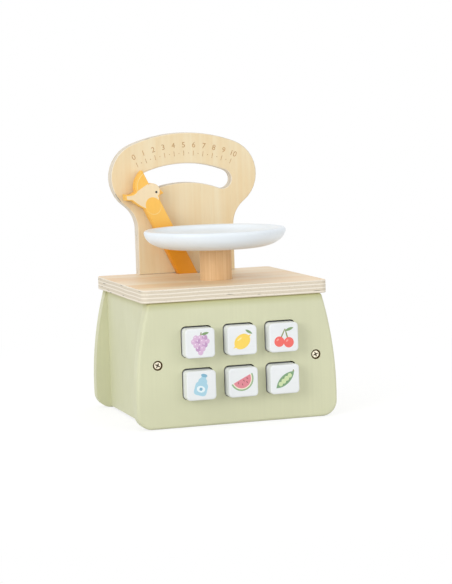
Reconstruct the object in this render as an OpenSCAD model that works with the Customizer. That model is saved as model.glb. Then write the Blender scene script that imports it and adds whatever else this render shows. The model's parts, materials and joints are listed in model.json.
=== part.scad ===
// Toy shop scale: a plywood box with six push buttons, a sprung weighing pan
// and a pointer that swings across a dial as the pan goes down.
// Millimetres. +X is right, +Y is back, +Z is up, and the floor is at Z = 0.

/* [Box] */
// Depth over the front and back panels
box_d = 115; // [104:1:130]
// Height of the panels above the floor
panel_h = 80.8; // [76:0.2:95]
// Thickness of the front and back panels
panel_t = 9; // [7:0.5:10]
// Width of the front and back panels along their top edge
panel_top_w = 116.6; // [112:0.2:122]
// Greatest width of the front and back panels
panel_w = 135; // [128:1:145]
// Height at which the panels are widest
belly_z = 16; // [12:1:30]
// Radius of the lower corners of the front and back panels
panel_corner_r = 10; // [5:1:12]
// Radius of the eased outer edges of the front and back panels
panel_edge_r = 2; // [0.5:0.5:3]
// Thickness of the side panels
side_t = 9; // [8:0.5:11]
// Distance from the upper corners of the panels in to the side panels
side_inset = 0.6; // [0:0.1:2]
// Height of the side panels' lower edge above the floor
side_lift = 1; // [0:0.5:2]

/* [Top board] */
// Width of the top board
board_w = 124.4; // [122:0.2:134]
// Overhang of the top board past the front and back panels
board_overhang = 0.8; // [0:0.1:3]
// Thickness of the top board
board_t = 8.4; // [7:0.2:12]
// Radius of the top board's corners in plan
board_corner_r = 4.5; // [1:0.5:8]

/* [Bottom board] */
// Height of the bottom board's underside above the floor
bottom_lift = 2.5; // [1:0.5:4]
// Thickness of the bottom board
bottom_t = 6; // [5:0.5:8]
// Side of the square battens above the bottom board
batten_w = 9; // [7:0.5:11]
// Distance of the bottom screws in front of and behind the middle
bottom_screw_y = 36; // [25:1:40]

/* [Dial board] */
// Height of the whole scale
total_h = 185; // [180:1:200]
// Thickness of the dial board
dial_t = 9; // [8:0.5:10]
// Greatest width of the dial board
dial_w = 103.8; // [98:0.2:110]
// Width of the dial board's foot
dial_foot_w = 68.8; // [60:0.2:74]
// Radius of the dial board's shoulders
shoulder_r = 24; // [20:1:27]
// Radius of the hollow curves between shoulders and foot
waist_r = 20; // [10:1:30]
// Distance of the window's middle line from the pivot
window_r = 72.5; // [70:0.5:76]
// Width of the window
window_w = 13; // [9:0.5:16]
// Half of the angle that the window spans between its round ends
window_half_angle = 22; // [14:1:23]
// Distance of the dial dowels from the middle
dial_dowel_x = 22; // [16:1:28]

/* [Pointer] */
// Thickness of the pointer
pointer_t = 8; // [6:0.5:9]
// Gap between pointer and dial board
pointer_gap = 1.2; // [1.1:0.1:2]
// Width of the pointer's arm
arm_w = 12; // [10:0.5:13]
// Distance from the pivot to the top of the arm
arm_len = 64; // [62:1:70]
// Lean of the arm to the left at zero
pointer_lean = 26.2; // [24:0.1:28]
// Angle that the pointer swings over
pointer_swing = 45.6; // [40:0.2:48]
// Diameter of the pointer pin
pin_d = 3; // [2:0.5:4]
// Depth of the pointer pin's seat in front of the slot
pin_seat = 6; // [4:0.5:10]
// Distance from the pivot down to the drive peg
tail_len = 29; // [28:0.5:31]
// Diameter of the drive peg
peg_d = 5; // [4:0.5:6]

/* [Bird on the pointer] */
// Radius of the head
head_r = 5.5; // [4.5:0.1:6]
// Length of the raised wing above the top of the arm
wing_h = 18; // [16:0.5:19]
// Reach of the tail to the left of the arm's middle
tail_reach = 15.2; // [13:0.1:17]
// Length of the beak past the head
beak_len = 2.6; // [1.5:0.1:4]

/* [Weighing pan] */
// Diameter of the pan
pan_d = 93.5; // [86:0.5:95]
// Distance of the pan and its post to the right of the middle
pan_x = 1.5; // [0:0.5:3]
// Thickness of the pan's floor
pan_floor = 6.5; // [5:0.5:9]
// Depth of the pan's hollow
pan_hollow = 5.5; // [3:0.5:7]
// Width of the pan's rim
pan_rim_w = 5; // [3.5:0.5:8]
// Radius of the rim's rounded edge
pan_rim_r = 1.9; // [1:0.1:2.5]
// Diameter of the flat under the pan
pan_base_d = 72; // [60:1:78]
// Wood left above the post's socket in the pan
socket_skin = 2.5; // [2:0.5:3.5]
// Height of the pan's underside above the top board
pan_lift = 21.5; // [18:0.5:28]
// Travel of the pan when it is pressed
pan_travel = 14; // [10:0.5:14.5]
// Diameter of the post
post_d = 21; // [17:0.5:23]
// Length of the post below the top board
post_drop = 20.8; // [20:0.2:24]

/* [Drive] */
// Width of the carrier bar under the post
bar_w = 20; // [18:0.5:24]
// Thickness of the carrier bar
bar_t = 12; // [10:0.5:14]
// Length of the carrier bar in front of the post
bar_nose = 1; // [0:0.5:1.5]
// Thickness of the cam plate
cam_t = 6; // [5:0.5:7]
// Gap between cam plate and pointer
cam_gap = 3; // [2:0.5:4]
// Wood around the cam plate's slot
cam_wall = 4.5; // [4:0.5:5]
// Distance of the cam screws from the middle
cam_screw_x = 5; // [4:0.5:6]
// Diameter of the carrier screw
carrier_screw_d = 4; // [3:0.5:5]
// Diameter of the carrier screw's head
carrier_head_d = 8; // [7:0.5:9]
// Height of the carrier screw's head
carrier_head_t = 2.8; // [2:0.2:3.4]
// Length of the carrier screw in the post
carrier_grip = 18; // [14:1:24]

/* [Return spring] */
// Outer diameter of the return spring
spring_d = 17; // [16:0.5:18]
// Wire diameter of the return spring
spring_wire = 1.5; // [1.2:0.1:1.8]
// Turns of the return spring
spring_turns = 7; // [5:1:9]
// Height of the spring peg above the bottom board
spring_peg_h = 12; // [8:1:14]
// Depth of the spring peg in the bottom board
spring_peg_sink = 4; // [3:0.5:4.5]

/* [Buttons] */
// Width of a button's face
button_w = 19.5; // [17:0.5:20.5]
// Height of a button's face
button_h = 18.8; // [17:0.1:20.5]
// How far the buttons stand out of the front panel
button_proud = 8.3; // [6:0.1:10]
// Radius of the corners of a button's face
button_corner_r = 2.5; // [2:0.5:5]
// Radius of the rounded edge round a button's face
button_edge_r = 1; // [0.5:0.5:3]
// Distance between button columns
button_pitch_x = 28; // [27:0.5:30]
// Distance between button rows
button_pitch_z = 27; // [26.5:0.5:29]
// Distance of the middle column to the right of the middle
button_mid_x = 0.9; // [-2:0.1:2]
// Height of the middle between the two rows
button_mid_z = 41; // [40:0.5:44]
// Travel of a button when it is pressed
button_travel = 4; // [2:0.5:5]
// Gap round a button in its hole
button_gap = 0.6; // [0.4:0.1:0.8]
// How far the buttons hang below the middle of their holes
button_sag = 0.3; // [0:0.05:0.35]
// Width of the lip that holds a button in
button_lip = 2.2; // [1.5:0.1:2.7]
// Thickness of that lip
lip_t = 3; // [2:0.5:4]
// Diameter of a button's stem
stem_d = 6; // [5:0.5:7]
// Depth of the stem in the button
stem_sink = 10; // [8:1:14]
// Space between front panel and guide board
guide_space = 14.5; // [13:0.5:15.5]
// Thickness of the guide board
guide_t = 4; // [3:0.5:5]
// Height of the guide board
guide_h = 50; // [48:1:54]
// Depth of the grooves that hold the guide board
dado = 2.5; // [1.5:0.5:2.5]
// Outer diameter of a button's spring
button_spring_d = 12; // [11:0.5:13]
// Wire diameter of a button's spring
button_wire = 0.9; // [0.7:0.1:1.1]
// Turns of a button's spring
button_turns = 5; // [4:1:6]

/* [Fasteners] */
// Height of the front and rear screws above the floor
screw_z = 41; // [30:1:50]
// Diameter of the panel screws
screw_d = 3; // [2.5:0.1:3]
// Length of the screws
screw_len = 24; // [18:1:28]
// Diameter of the screw heads
screw_head_d = 4.8; // [4.4:0.2:5.6]
// Height of the screw heads
screw_head_t = 1.4; // [1:0.1:1.8]
// Diameter of the seats that the screw heads lie in
screw_seat_d = 6.4; // [6.2:0.1:7]
// Depth of those seats
screw_seat = 2; // [1.8:0.1:2.5]
// Diameter of the dowels
dowel_d = 6; // [5:0.5:6]
// Length of the dowels below or above the top board
dowel_grip = 12; // [8:1:16]
// Depth of the dowels in the top board
dowel_sink = 5; // [4:0.5:6]
// Distance of the side dowels in front of and behind the middle
side_dowel_y = 20; // [14:1:24]

/* [Clearances] */
// Gap between pieces that slide past each other
slide_gap = 0.3; // [0.2:0.05:0.5]
// Radial gap of a pin that turns in its bore
running_gap = 0.08; // [0.05:0.01:0.1]
// Radial gap of a glued or screwed joint
glue_gap = 0.05; // [0.02:0.01:0.1]
// Gap between pieces that rest on each other and can part
seat_gap = 0.1; // [0.05:0.05:0.2]
// Gap round a board that drops into the box
drop_in_gap = 0.2; // [0.1:0.05:0.4]

/* [Hidden] */
$fn = 64;

// A little more than nothing, for cuts that run past a face
past = 1;
// Points along one arc of an outline, and steps round an eased edge
arc_steps = 12;
edge_steps = 4;

// Planes of the box, measured from its middle
front_y = -box_d / 2;
back_y = box_d / 2;
front_inner_y = front_y + panel_t;
back_inner_y = back_y - panel_t;
side_x = panel_top_w / 2 - side_inset;
side_inner_x = side_x - side_t;
side_mid_x = side_x - side_t / 2;
board_d = box_d + 2 * board_overhang;
board_top = panel_h + board_t;
board_back_y = board_d / 2;
bottom_top = bottom_lift + bottom_t;

// The dial stands flush with the back edge of the top board
dial_front_y = board_back_y - dial_t;
dial_mid_y = board_back_y - dial_t / 2;

// The pivot lies in the middle of the top board's thickness
pivot_z = panel_h + board_t / 2;
pointer_back_y = dial_front_y - pointer_gap;
pointer_front_y = pointer_back_y - pointer_t;
slot_front_y = pointer_front_y - slide_gap;
slot_back_y = pointer_back_y + slide_gap;
// Half length of the slot, where the leaning arm crosses the faces of the board
slot_half = board_t / 2 * tan(pointer_lean) + arm_w / 2 / cos(pointer_lean) + slide_gap;

// The pan's front edge lies over the front edge of the top board
pan_y = pan_d / 2 - board_d / 2;
pan_h = pan_floor + pan_hollow;
pan_z = board_top + pan_lift;
post_top = pan_z + pan_floor - socket_skin;
post_bottom = panel_h - post_drop;
bar_bottom = post_bottom - bar_t;

// The cam plate stands at the rear end of the carrier bar, in front of the pointer's tail
cam_back_y = pointer_front_y - cam_gap;
cam_front_y = cam_back_y - cam_t;
cam_slot_w = peg_d + 2 * slide_gap;

spring_r = (spring_d - spring_wire) / 2;
spring_peg_d = spring_d - 2 * spring_wire - 4 * slide_gap;

// Depths of the button pieces
button_front_y = front_y - button_proud;
lip_front_y = front_inner_y + seat_gap;
lip_back_y = lip_front_y + lip_t;
guide_front_y = front_inner_y + guide_space;
guide_back_y = guide_front_y + guide_t;
guide_bottom = bottom_top + batten_w;
// The battens stop behind the reach of the pressed buttons
batten_front_y = lip_back_y + button_travel + slide_gap;

// The origin lies under the middle of the whole scale, buttons included
frame_y = -(button_front_y + board_back_y) / 2;

// Points of an arc from angle a to angle b
function arc(centre, r, a, b, steps = arc_steps) =
    [for (i = [0:steps]) let (t = a + (b - a) * i / steps) centre + r * [cos(t), sin(t)]];

// Points of a curve that leaves p for q and turns there towards s
function bend(p, q, s, steps = arc_steps) =
    [for (i = [0:steps]) let (t = i / steps) (1 - t) * (1 - t) * p + 2 * t * (1 - t) * q + t * t * s];

// The left half of an outline, from its right half
function mirrored(half) = [for (i = [len(half) - 1:-1:0]) [-half[i].x, half[i].y]];

function rounded_rect(w, h, r) = concat(
    arc([w / 2 - r, r - h / 2], r, -90, 0, 6), arc([w / 2 - r, h / 2 - r], r, 0, 90, 6),
    arc([r - w / 2, h / 2 - r], r, 90, 180, 6), arc([r - w / 2, r - h / 2], r, 180, 270, 6));

// Right half of the panel, drawn in by d: a flat foot, a round corner and a long bulging side
bulge = (panel_w - panel_top_w) / 2;
bulge_h = panel_h - belly_z;
bulge_r = (bulge * bulge + bulge_h * bulge_h) / (2 * bulge);
bulge_centre = [panel_w / 2 - bulge_r, belly_z];
corner_drop = belly_z - panel_corner_r;
corner_reach = sqrt(pow(bulge_r - panel_corner_r, 2) - corner_drop * corner_drop);
corner_centre = [bulge_centre.x + corner_reach, panel_corner_r];
corner_angle = atan2(-corner_drop, corner_reach);
function panel_half(d) = concat(
    arc(corner_centre, panel_corner_r - d, -90, corner_angle),
    arc(bulge_centre, bulge_r - d, corner_angle, asin(bulge_h / (bulge_r - d))));

// Right half of the dial: foot, hollow waist, round shoulder and a top arc about the pivot
pivot = [0, pivot_z];
dial_r = total_h - pivot_z;
shoulder_x = dial_w / 2 - shoulder_r;
shoulder_z = pivot_z + sqrt(pow(dial_r - shoulder_r, 2) - shoulder_x * shoulder_x);
waist_x = dial_foot_w / 2 + waist_r;
waist_z = shoulder_z - sqrt(pow(shoulder_r + waist_r, 2) - pow(waist_x - shoulder_x, 2));
waist_angle = atan2(shoulder_z - waist_z, shoulder_x - waist_x);
shoulder_angle = atan2(shoulder_z - pivot_z, shoulder_x);
dial_half = concat(
    [[dial_foot_w / 2, board_top]],
    arc([waist_x, waist_z], waist_r, 180, waist_angle),
    arc([shoulder_x, shoulder_z], shoulder_r, waist_angle - 180, shoulder_angle),
    arc(pivot, dial_r, shoulder_angle, 90));

// The window is an arc-shaped slot about the pivot
window_lo = 90 - window_half_angle;
window_hi = 90 + window_half_angle;
function on_window(angle) = pivot + window_r * [cos(angle), sin(angle)];
window_outline = concat(
    arc(pivot, window_r + window_w / 2, window_lo, window_hi, 2 * arc_steps),
    arc(on_window(window_hi), window_w / 2, window_hi, window_hi + 180),
    arc(pivot, window_r - window_w / 2, window_hi, window_lo, 2 * arc_steps),
    arc(on_window(window_lo), window_w / 2, window_lo - 180, window_lo));

// Where the drive peg lies, and where that is on the cam plate, after a share of the travel
function peg_at(share) = let (lean = pointer_lean - pointer_swing * share)
    pivot + tail_len * [sin(lean), -cos(lean)];
function cam_at(share) = peg_at(share) + [0, pan_travel * share];
cam_path = [for (i = [0:arc_steps]) cam_at(i / arc_steps)];
function cam_normal(i) = let (
    a = cam_path[max(i - 1, 0)],
    b = cam_path[min(i + 1, arc_steps)],
    along = (b - a) / norm(b - a)) [-along.y, along.x];
cam_side = cam_slot_w / 2;
cam_edges = concat(
    [for (i = [0:arc_steps]) cam_path[i] + cam_side * cam_normal(i)],
    [for (i = [arc_steps:-1:0]) cam_path[i] - cam_side * cam_normal(i)]);
cam_rim = cam_side + cam_wall;
cam_left = cam_path[arc_steps].x - cam_rim;
cam_right = cam_path[0].x + cam_rim;
cam_top = cam_path[arc_steps].y + cam_rim;

// Rings of a coil of wire about Z, six points each, eight rings a turn
coil_sides = 6;
coil_rings = 8;
function coil_ring(r, wire, turns, rise, i) = let (
    t = i / (turns * coil_rings),
    a = 360 * turns * t,
    out = [cos(a), sin(a), 0],
    along = [-2 * PI * turns * r * sin(a), 2 * PI * turns * r * cos(a), rise],
    up = cross(out, along / norm(along)))
    [for (k = [0:coil_sides - 1]) let (b = 360 * k / coil_sides)
        r * out + [0, 0, rise * t] + wire / 2 * (cos(b) * out + sin(b) * up)];

// A flat outline in X and Z, made solid from y0 back over thickness t
module slab(y0, t) {
    translate([0, y0 + t, 0])
        rotate([90, 0, 0])
            linear_extrude(height = t)
                children();
}

module rod_y(x, z, d, y0, y1) {
    translate([x, y0, z])
        rotate([-90, 0, 0])
            cylinder(d = d, h = y1 - y0);
}

module rod_z(x, y, d, z0, z1) {
    translate([x, y, z0])
        cylinder(d = d, h = z1 - z0);
}

// A block between two corners
module block(low, high) {
    translate(low)
        cube(high - low);
}

// Puts a piece into the frame of the whole scale
module placed() {
    translate([0, frame_y, 0])
        children();
}

module left_and_right() {
    children();
    mirror([1, 0, 0])
        children();
}

module front_and_rear() {
    children();
    mirror([0, 1, 0])
        children();
}

// A screw whose head top is at the origin and whose shank runs up Z
module screw(d, length, head_d, head_t) {
    recess_w = head_d / 6;
    recess_l = head_d * 0.62;
    tip_l = d * 1.5;
    difference() {
        union() {
            cylinder(d = head_d, h = head_t);
            cylinder(d = d, h = length - tip_l);
            translate([0, 0, length - tip_l])
                cylinder(d1 = d, d2 = d / 4, h = tip_l);
        }
        for (turn = [0, 90])
            rotate([0, 0, turn])
                translate([-recess_l / 2, -recess_w / 2, -past])
                    cube([recess_l, recess_w, past + head_t * 0.6]);
    }
}

// One unbroken coil of wire from z = 0 up to z = length
module coil(d, wire, turns, length) {
    r = (d - wire) / 2;
    rise = length - wire;
    last = turns * coil_rings;
    points = [for (i = [0:last]) each coil_ring(r, wire, turns, rise, i)];
    sides = [for (i = [0:last - 1], k = [0:coil_sides - 1]) let (
        a = i * coil_sides + k,
        b = i * coil_sides + (k + 1) % coil_sides) each [
            [a, a + coil_sides, b], [b, a + coil_sides, b + coil_sides]]];
    first_cap = [for (k = [1:coil_sides - 2]) [0, k, k + 1]];
    end = last * coil_sides;
    last_cap = [for (k = [1:coil_sides - 2]) [end, end + k + 1, end + k]];
    echo("least gap between turns", rise / turns - wire);
    translate([0, 0, wire / 2])
        polyhedron(points = points, faces = concat(sides, first_cap, last_cap));
}

// The panel screws go into the middle of the side panels' ends
module panel_screw_holes() {
    left_and_right() {
        rod_y(side_mid_x, screw_z, screw_seat_d, front_y - past, front_y + screw_seat);
        rod_y(side_mid_x, screw_z, screw_d + 2 * glue_gap, front_y, front_y + screw_seat + screw_len);
    }
}

module panel_screws() {
    left_and_right()
        translate([side_mid_x, front_y + screw_seat - screw_head_t, screw_z])
            rotate([-90, 0, 0])
                screw(screw_d, screw_len, screw_head_d, screw_head_t);
}

// Calls its children once at each button's place
function button_x(column) = button_mid_x + (column - 1) * button_pitch_x;
function button_z(row) = button_mid_z + (row - 0.5) * button_pitch_z;
module at_buttons() {
    for (column = [0:2], row = [0:1])
        translate([button_x(column), 0, button_z(row)])
            children();
}

// A panel whose outer edge is eased in steps, all but the edge under the top board
module panel_body() {
    hull()
        for (turn = [0:90 / edge_steps:90]) {
            half = panel_half(panel_edge_r * (1 - sin(turn)));
            y = front_y + panel_edge_r * (1 - cos(turn));
            slab(y, front_inner_y - y)
                polygon(concat(half, mirrored(half)));
        }
}

module front_panel() {
    hole_w = button_w + 2 * button_gap;
    hole_h = button_h + 2 * button_gap;
    color("#d4d4b4")
        placed()
            difference() {
                panel_body();
                at_buttons()
                    translate([0, 0, button_sag])
                        slab(front_y - past, panel_t + 2 * past)
                            polygon(rounded_rect(hole_w, hole_h, button_corner_r + button_gap));
                panel_screw_holes();
            }
}

module back_panel() {
    color("#d4d4b4")
        placed()
            mirror([0, 1, 0])
                difference() {
                    panel_body();
                    panel_screw_holes();
                }
}

module right_side() {
    difference() {
        block([side_inner_x, front_inner_y, side_lift], [side_x, back_inner_y, panel_h]);
        block([side_inner_x - past, guide_front_y - drop_in_gap, guide_bottom],
            [side_inner_x + dado, guide_back_y + drop_in_gap, panel_h + past]);
        front_and_rear() {
            panel_screw_holes();
            rod_z(side_mid_x, side_dowel_y, dowel_d + 2 * glue_gap, panel_h - dowel_grip, panel_h + past);
        }
    }
}

module left_side_panel() {
    color("#cfd0b4")
        placed()
            mirror([1, 0, 0])
                right_side();
}

module right_side_panel() {
    color("#cfd0b4")
        placed()
            right_side();
}

module top_board() {
    color("#e8cca8")
        placed()
            difference() {
                translate([0, 0, panel_h])
                    linear_extrude(height = board_t)
                        polygon(rounded_rect(board_w, board_d, board_corner_r));
                rod_z(pan_x, pan_y, post_d + 2 * slide_gap, panel_h - past, board_top + past);
                block([-slot_half, slot_front_y, panel_h - past], [slot_half, slot_back_y, board_top + past]);
                rod_y(0, pivot_z, pin_d + 2 * glue_gap, slot_front_y - pin_seat, board_back_y + past);
                left_and_right() {
                    rod_z(dial_dowel_x, dial_mid_y, dowel_d + 2 * glue_gap,
                        board_top - dowel_sink, board_top + past);
                    front_and_rear()
                        rod_z(side_mid_x, side_dowel_y, dowel_d + 2 * glue_gap,
                            panel_h - past, panel_h + dowel_sink);
                }
            }
}

module bottom_screw_axes() {
    left_and_right()
        front_and_rear()
            translate([side_inner_x - batten_w / 2, bottom_screw_y, bottom_lift])
                children();
}

// Depth of the bottom screws in the battens
bottom_screw_len = screw_seat + bottom_t + batten_w / 3;

module bottom_board() {
    half_w = side_inner_x - drop_in_gap;
    half_d = back_inner_y - drop_in_gap;
    color("#dcc49c")
        placed()
            difference() {
                block([-half_w, -half_d, bottom_lift], [half_w, half_d, bottom_top]);
                rod_z(pan_x, pan_y, spring_peg_d + 2 * glue_gap,
                    bottom_top - spring_peg_sink, bottom_top + past);
                bottom_screw_axes() {
                    rod_z(0, 0, screw_d + 2 * glue_gap, -past, bottom_t + past);
                    rod_z(0, 0, screw_seat_d, -past, screw_seat);
                }
            }
}

module bottom_battens() {
    color("#d8b98a")
        placed()
            difference() {
                left_and_right()
                    block([side_inner_x - batten_w, batten_front_y, bottom_top],
                        [side_inner_x, back_inner_y, bottom_top + batten_w]);
                bottom_screw_axes()
                    rod_z(0, 0, screw_d + 2 * glue_gap, 0, bottom_screw_len + glue_gap);
            }
}

module bottom_screws() {
    color("#c9b27c")
        placed()
            bottom_screw_axes()
                translate([0, 0, screw_seat - screw_head_t])
                    screw(screw_d, bottom_screw_len - screw_seat + screw_head_t, screw_head_d, screw_head_t);
}

module dial_board() {
    color("#eed8b4")
        placed()
            difference() {
                slab(dial_front_y, dial_t)
                    difference() {
                        polygon(concat(dial_half, mirrored(dial_half)));
                        polygon(window_outline);
                    }
                left_and_right()
                    rod_z(dial_dowel_x, dial_mid_y, dowel_d + 2 * glue_gap,
                        board_top - past, board_top + dowel_grip);
            }
}

module dial_dowels() {
    color("#d9b98c")
        placed()
            left_and_right()
                rod_z(dial_dowel_x, dial_mid_y, dowel_d, board_top - dowel_sink, board_top + dowel_grip);
}

module side_dowels() {
    color("#d9b98c")
        placed()
            left_and_right()
                front_and_rear()
                    rod_z(side_mid_x, side_dowel_y, dowel_d, panel_h - dowel_grip, panel_h + dowel_sink);
}

module front_screws() {
    color("#d9c48f")
        placed()
            panel_screws();
}

module rear_screws() {
    color("#d9c48f")
        placed()
            mirror([0, 1, 0])
                panel_screws();
}

// The bird, drawn round the top of an upright arm, which is its origin
neck_drop = 6;
head_centre = [4.1, 2.2];
beak_angle = -36;
beak_spread = 24;
beak_tip = head_centre + (head_r + beak_len) * [cos(beak_angle), sin(beak_angle)];
wing_fall = 3.5;
wing_tip = [4.5, wing_h];
wing_back = [-4.6, wing_h - wing_fall];
wing_root = [-6.2, 7.6];
crown_angle = acos((wing_tip.x - head_centre.x) / head_r);
tail_dip = [-9.6, 6.2];
tail_high = [1.5 - tail_reach, 9.5];
tail_low = [-tail_reach, 5.6];
rump = [-11.4, 3.2];
belly = [-9, -2.5];
function on_head(angle) = head_centre + head_r * [cos(angle), sin(angle)];
bird_edge = concat(
    // Throat, beak and head
    [[arm_w / 2, -neck_drop]],
    [on_head(beak_angle - beak_spread), beak_tip],
    arc(head_centre, head_r, beak_angle + beak_spread, crown_angle),
    // Raised wing, straight in front and round behind
    bend(wing_tip, wing_back, wing_root),
    // Tail and belly
    bend(wing_root, tail_dip, tail_high),
    [tail_low],
    bend(rump, belly, [-arm_w / 2, -neck_drop]));

module pointer() {
    color("#fac355")
        placed()
            difference() {
                slab(pointer_front_y, pointer_t)
                    translate(pivot)
                        rotate(pointer_lean)
                            polygon(concat(
                                arc([0, -tail_len], arm_w / 2, 180, 360),
                                [for (p = bird_edge) p + [0, arm_len]]));
                rod_y(0, pivot_z, pin_d + 2 * running_gap, pointer_front_y - past, pointer_back_y + past);
                rod_y(peg_at(0).x, peg_at(0).y, peg_d + 2 * glue_gap,
                    pointer_front_y - past, pointer_back_y + past);
            }
}

module pointer_pin() {
    color("#b8bcc0")
        placed()
            rod_y(0, pivot_z, pin_d, slot_front_y - pin_seat, board_back_y - seat_gap);
}

module drive_peg() {
    color("#d9b98c")
        placed()
            rod_y(peg_at(0).x, peg_at(0).y, peg_d, cam_front_y + slide_gap, pointer_back_y);
}

// Half section of the pan, from the middle of its underside out, up and back in
pan_r = pan_d / 2;
pan_knee = [pan_r, pan_h / 2];
rim_top = pan_h - pan_rim_r;
hollow_r = pan_r - pan_rim_w;
hollow_foot = [hollow_r - pan_hollow / 2, pan_floor];
floor_edge = [hollow_r - 2 * pan_hollow, pan_floor];
module pan_section() {
    polygon(concat(
        [[0, 0]],
        bend([pan_base_d / 2, 0], pan_knee, [pan_r, rim_top]),
        arc([pan_r - pan_rim_r, rim_top], pan_rim_r, 0, 90, 6),
        bend([hollow_r, pan_h], hollow_foot, floor_edge, 8),
        [[0, pan_floor]]));
}

module weighing_pan() {
    color("#eef2f3")
        placed()
            difference() {
                translate([pan_x, pan_y, pan_z])
                    rotate_extrude()
                        pan_section();
                rod_z(pan_x, pan_y, post_d + 2 * glue_gap, pan_z - past, post_top);
            }
}

module pan_post() {
    color("#cda078")
        placed()
            difference() {
                rod_z(pan_x, pan_y, post_d, post_bottom, post_top);
                rod_z(pan_x, pan_y, carrier_screw_d + 2 * glue_gap,
                    post_bottom - past, post_bottom + carrier_grip);
            }
}

module carrier_bar() {
    color("#d8b98a")
        placed()
            difference() {
                block([pan_x - bar_w / 2, pan_y - post_d / 2 - bar_nose, bar_bottom],
                    [pan_x + bar_w / 2, cam_front_y, post_bottom]);
                rod_z(pan_x, pan_y, carrier_screw_d + 2 * glue_gap, bar_bottom - past, post_bottom + past);
                cam_screw_axes()
                    rod_z(0, 0, screw_d + 2 * glue_gap, 0, screw_len + glue_gap);
            }
}

module carrier_screw() {
    color("#b8bcc0")
        placed()
            translate([pan_x, pan_y, bar_bottom - carrier_head_t])
                screw(carrier_screw_d, carrier_head_t + bar_t + carrier_grip, carrier_head_d, carrier_head_t);
}

// The cam screws go in from behind, with their heads sunk in the plate
module cam_screw_axes() {
    for (side = [-1, 1])
        translate([pan_x + side * cam_screw_x, cam_back_y, post_bottom - bar_t / 2])
            rotate([90, 0, 0])
                children();
}

module cam_plate() {
    color("#dcc49c")
        placed()
            difference() {
                block([cam_left, cam_front_y, bar_bottom], [cam_right, cam_back_y, cam_top]);
                slab(cam_front_y - past, cam_t + 2 * past) {
                    polygon(cam_edges);
                    for (end = [cam_path[0], cam_path[arc_steps]])
                        translate(end)
                            circle(d = cam_slot_w);
                }
                cam_screw_axes() {
                    rod_z(0, 0, screw_seat_d, -past, screw_seat);
                    rod_z(0, 0, screw_d + 2 * glue_gap, 0, screw_len);
                }
            }
}

module cam_screws() {
    color("#c9b27c")
        placed()
            cam_screw_axes()
                translate([0, 0, screw_seat - screw_head_t])
                    screw(screw_d, screw_len - screw_seat + screw_head_t, screw_head_d, screw_head_t);
}

module return_spring() {
    color("#b8bcc0")
        placed()
            translate([pan_x, pan_y, bottom_top + seat_gap])
                coil(spring_d, spring_wire, spring_turns, bar_bottom - bottom_top - 2 * seat_gap);
}

module spring_peg() {
    color("#d9b98c")
        placed()
            rod_z(pan_x, pan_y, spring_peg_d, bottom_top - spring_peg_sink, bottom_top + spring_peg_h);
}

module button_guide() {
    half_w = side_inner_x + dado - drop_in_gap;
    color("#dcc49c")
        placed()
            difference() {
                block([-half_w, guide_front_y, guide_bottom], [half_w, guide_back_y, guide_bottom + guide_h]);
                at_buttons()
                    rod_y(0, 0, stem_d + 2 * slide_gap, guide_front_y - past, guide_back_y + past);
            }
}

// Section of a button between two rounded front edges, front face on the X axis
function button_section(w, depth) = concat(
    arc([button_edge_r - w / 2, button_edge_r], button_edge_r, 180, 270, 6),
    arc([w / 2 - button_edge_r, button_edge_r], button_edge_r, 270, 360, 6),
    [[w / 2, depth], [-w / 2, depth]]);

module button(column, row) {
    depth = lip_back_y - button_front_y;
    lip_w = button_w + 2 * button_lip;
    lip_h = button_h + 2 * button_lip;
    color("#f0f3f5")
        placed()
            translate([button_x(column), 0, button_z(row)])
                difference() {
                    union() {
                        intersection() {
                            slab(button_front_y, depth)
                                polygon(rounded_rect(button_w, button_h, button_corner_r));
                            rounded_edges(depth);
                        }
                        slab(lip_front_y, lip_t)
                            square([lip_w, lip_h], center = true);
                    }
                    rod_y(0, 0, stem_d + 2 * glue_gap, lip_back_y - stem_sink, lip_back_y + past);
                }
}

// Where the section across a button and the one up it both hold
module rounded_edges(depth) {
    intersection() {
        translate([0, button_front_y, -button_h / 2])
            linear_extrude(height = button_h)
                polygon(button_section(button_w, depth));
        translate([-button_w / 2, button_front_y, 0])
            rotate([0, 90, 0])
                linear_extrude(height = button_w)
                    polygon(button_section(button_h, depth));
    }
}

module stem(column, row) {
    color("#d9b98c")
        placed()
            rod_y(button_x(column), button_z(row), stem_d, lip_back_y - stem_sink, guide_back_y + slide_gap);
}

module button_spring(column, row) {
    color("#b8bcc0")
        placed()
            translate([button_x(column), lip_back_y + seat_gap, button_z(row)])
                rotate([-90, 0, 0])
                    coil(button_spring_d, button_wire, button_turns,
                        guide_front_y - lip_back_y - 2 * seat_gap);
}

front_panel();
back_panel();
left_side_panel();
right_side_panel();
top_board();
bottom_board();
bottom_battens();
dial_board();
dial_dowels();
side_dowels();
front_screws();
rear_screws();
bottom_screws();
pointer();
pointer_pin();
drive_peg();
weighing_pan();
pan_post();
carrier_bar();
carrier_screw();
cam_plate();
cam_screws();
return_spring();
spring_peg();
button_guide();
button(0, 1);  // button_upper_left
button(1, 1);  // button_upper_middle
button(2, 1);  // button_upper_right
button(0, 0);  // button_lower_left
button(1, 0);  // button_lower_middle
button(2, 0);  // button_lower_right
stem(0, 1);  // stem_upper_left
stem(1, 1);  // stem_upper_middle
stem(2, 1);  // stem_upper_right
stem(0, 0);  // stem_lower_left
stem(1, 0);  // stem_lower_middle
stem(2, 0);  // stem_lower_right
button_spring(0, 1);  // spring_upper_left
button_spring(1, 1);  // spring_upper_middle
button_spring(2, 1);  // spring_upper_right
button_spring(0, 0);  // spring_lower_left
button_spring(1, 0);  // spring_lower_middle
button_spring(2, 0);  // spring_lower_right
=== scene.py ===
import json
import math
from functools import cache

import bmesh
import bpy
from mathutils import Matrix, Vector


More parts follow.
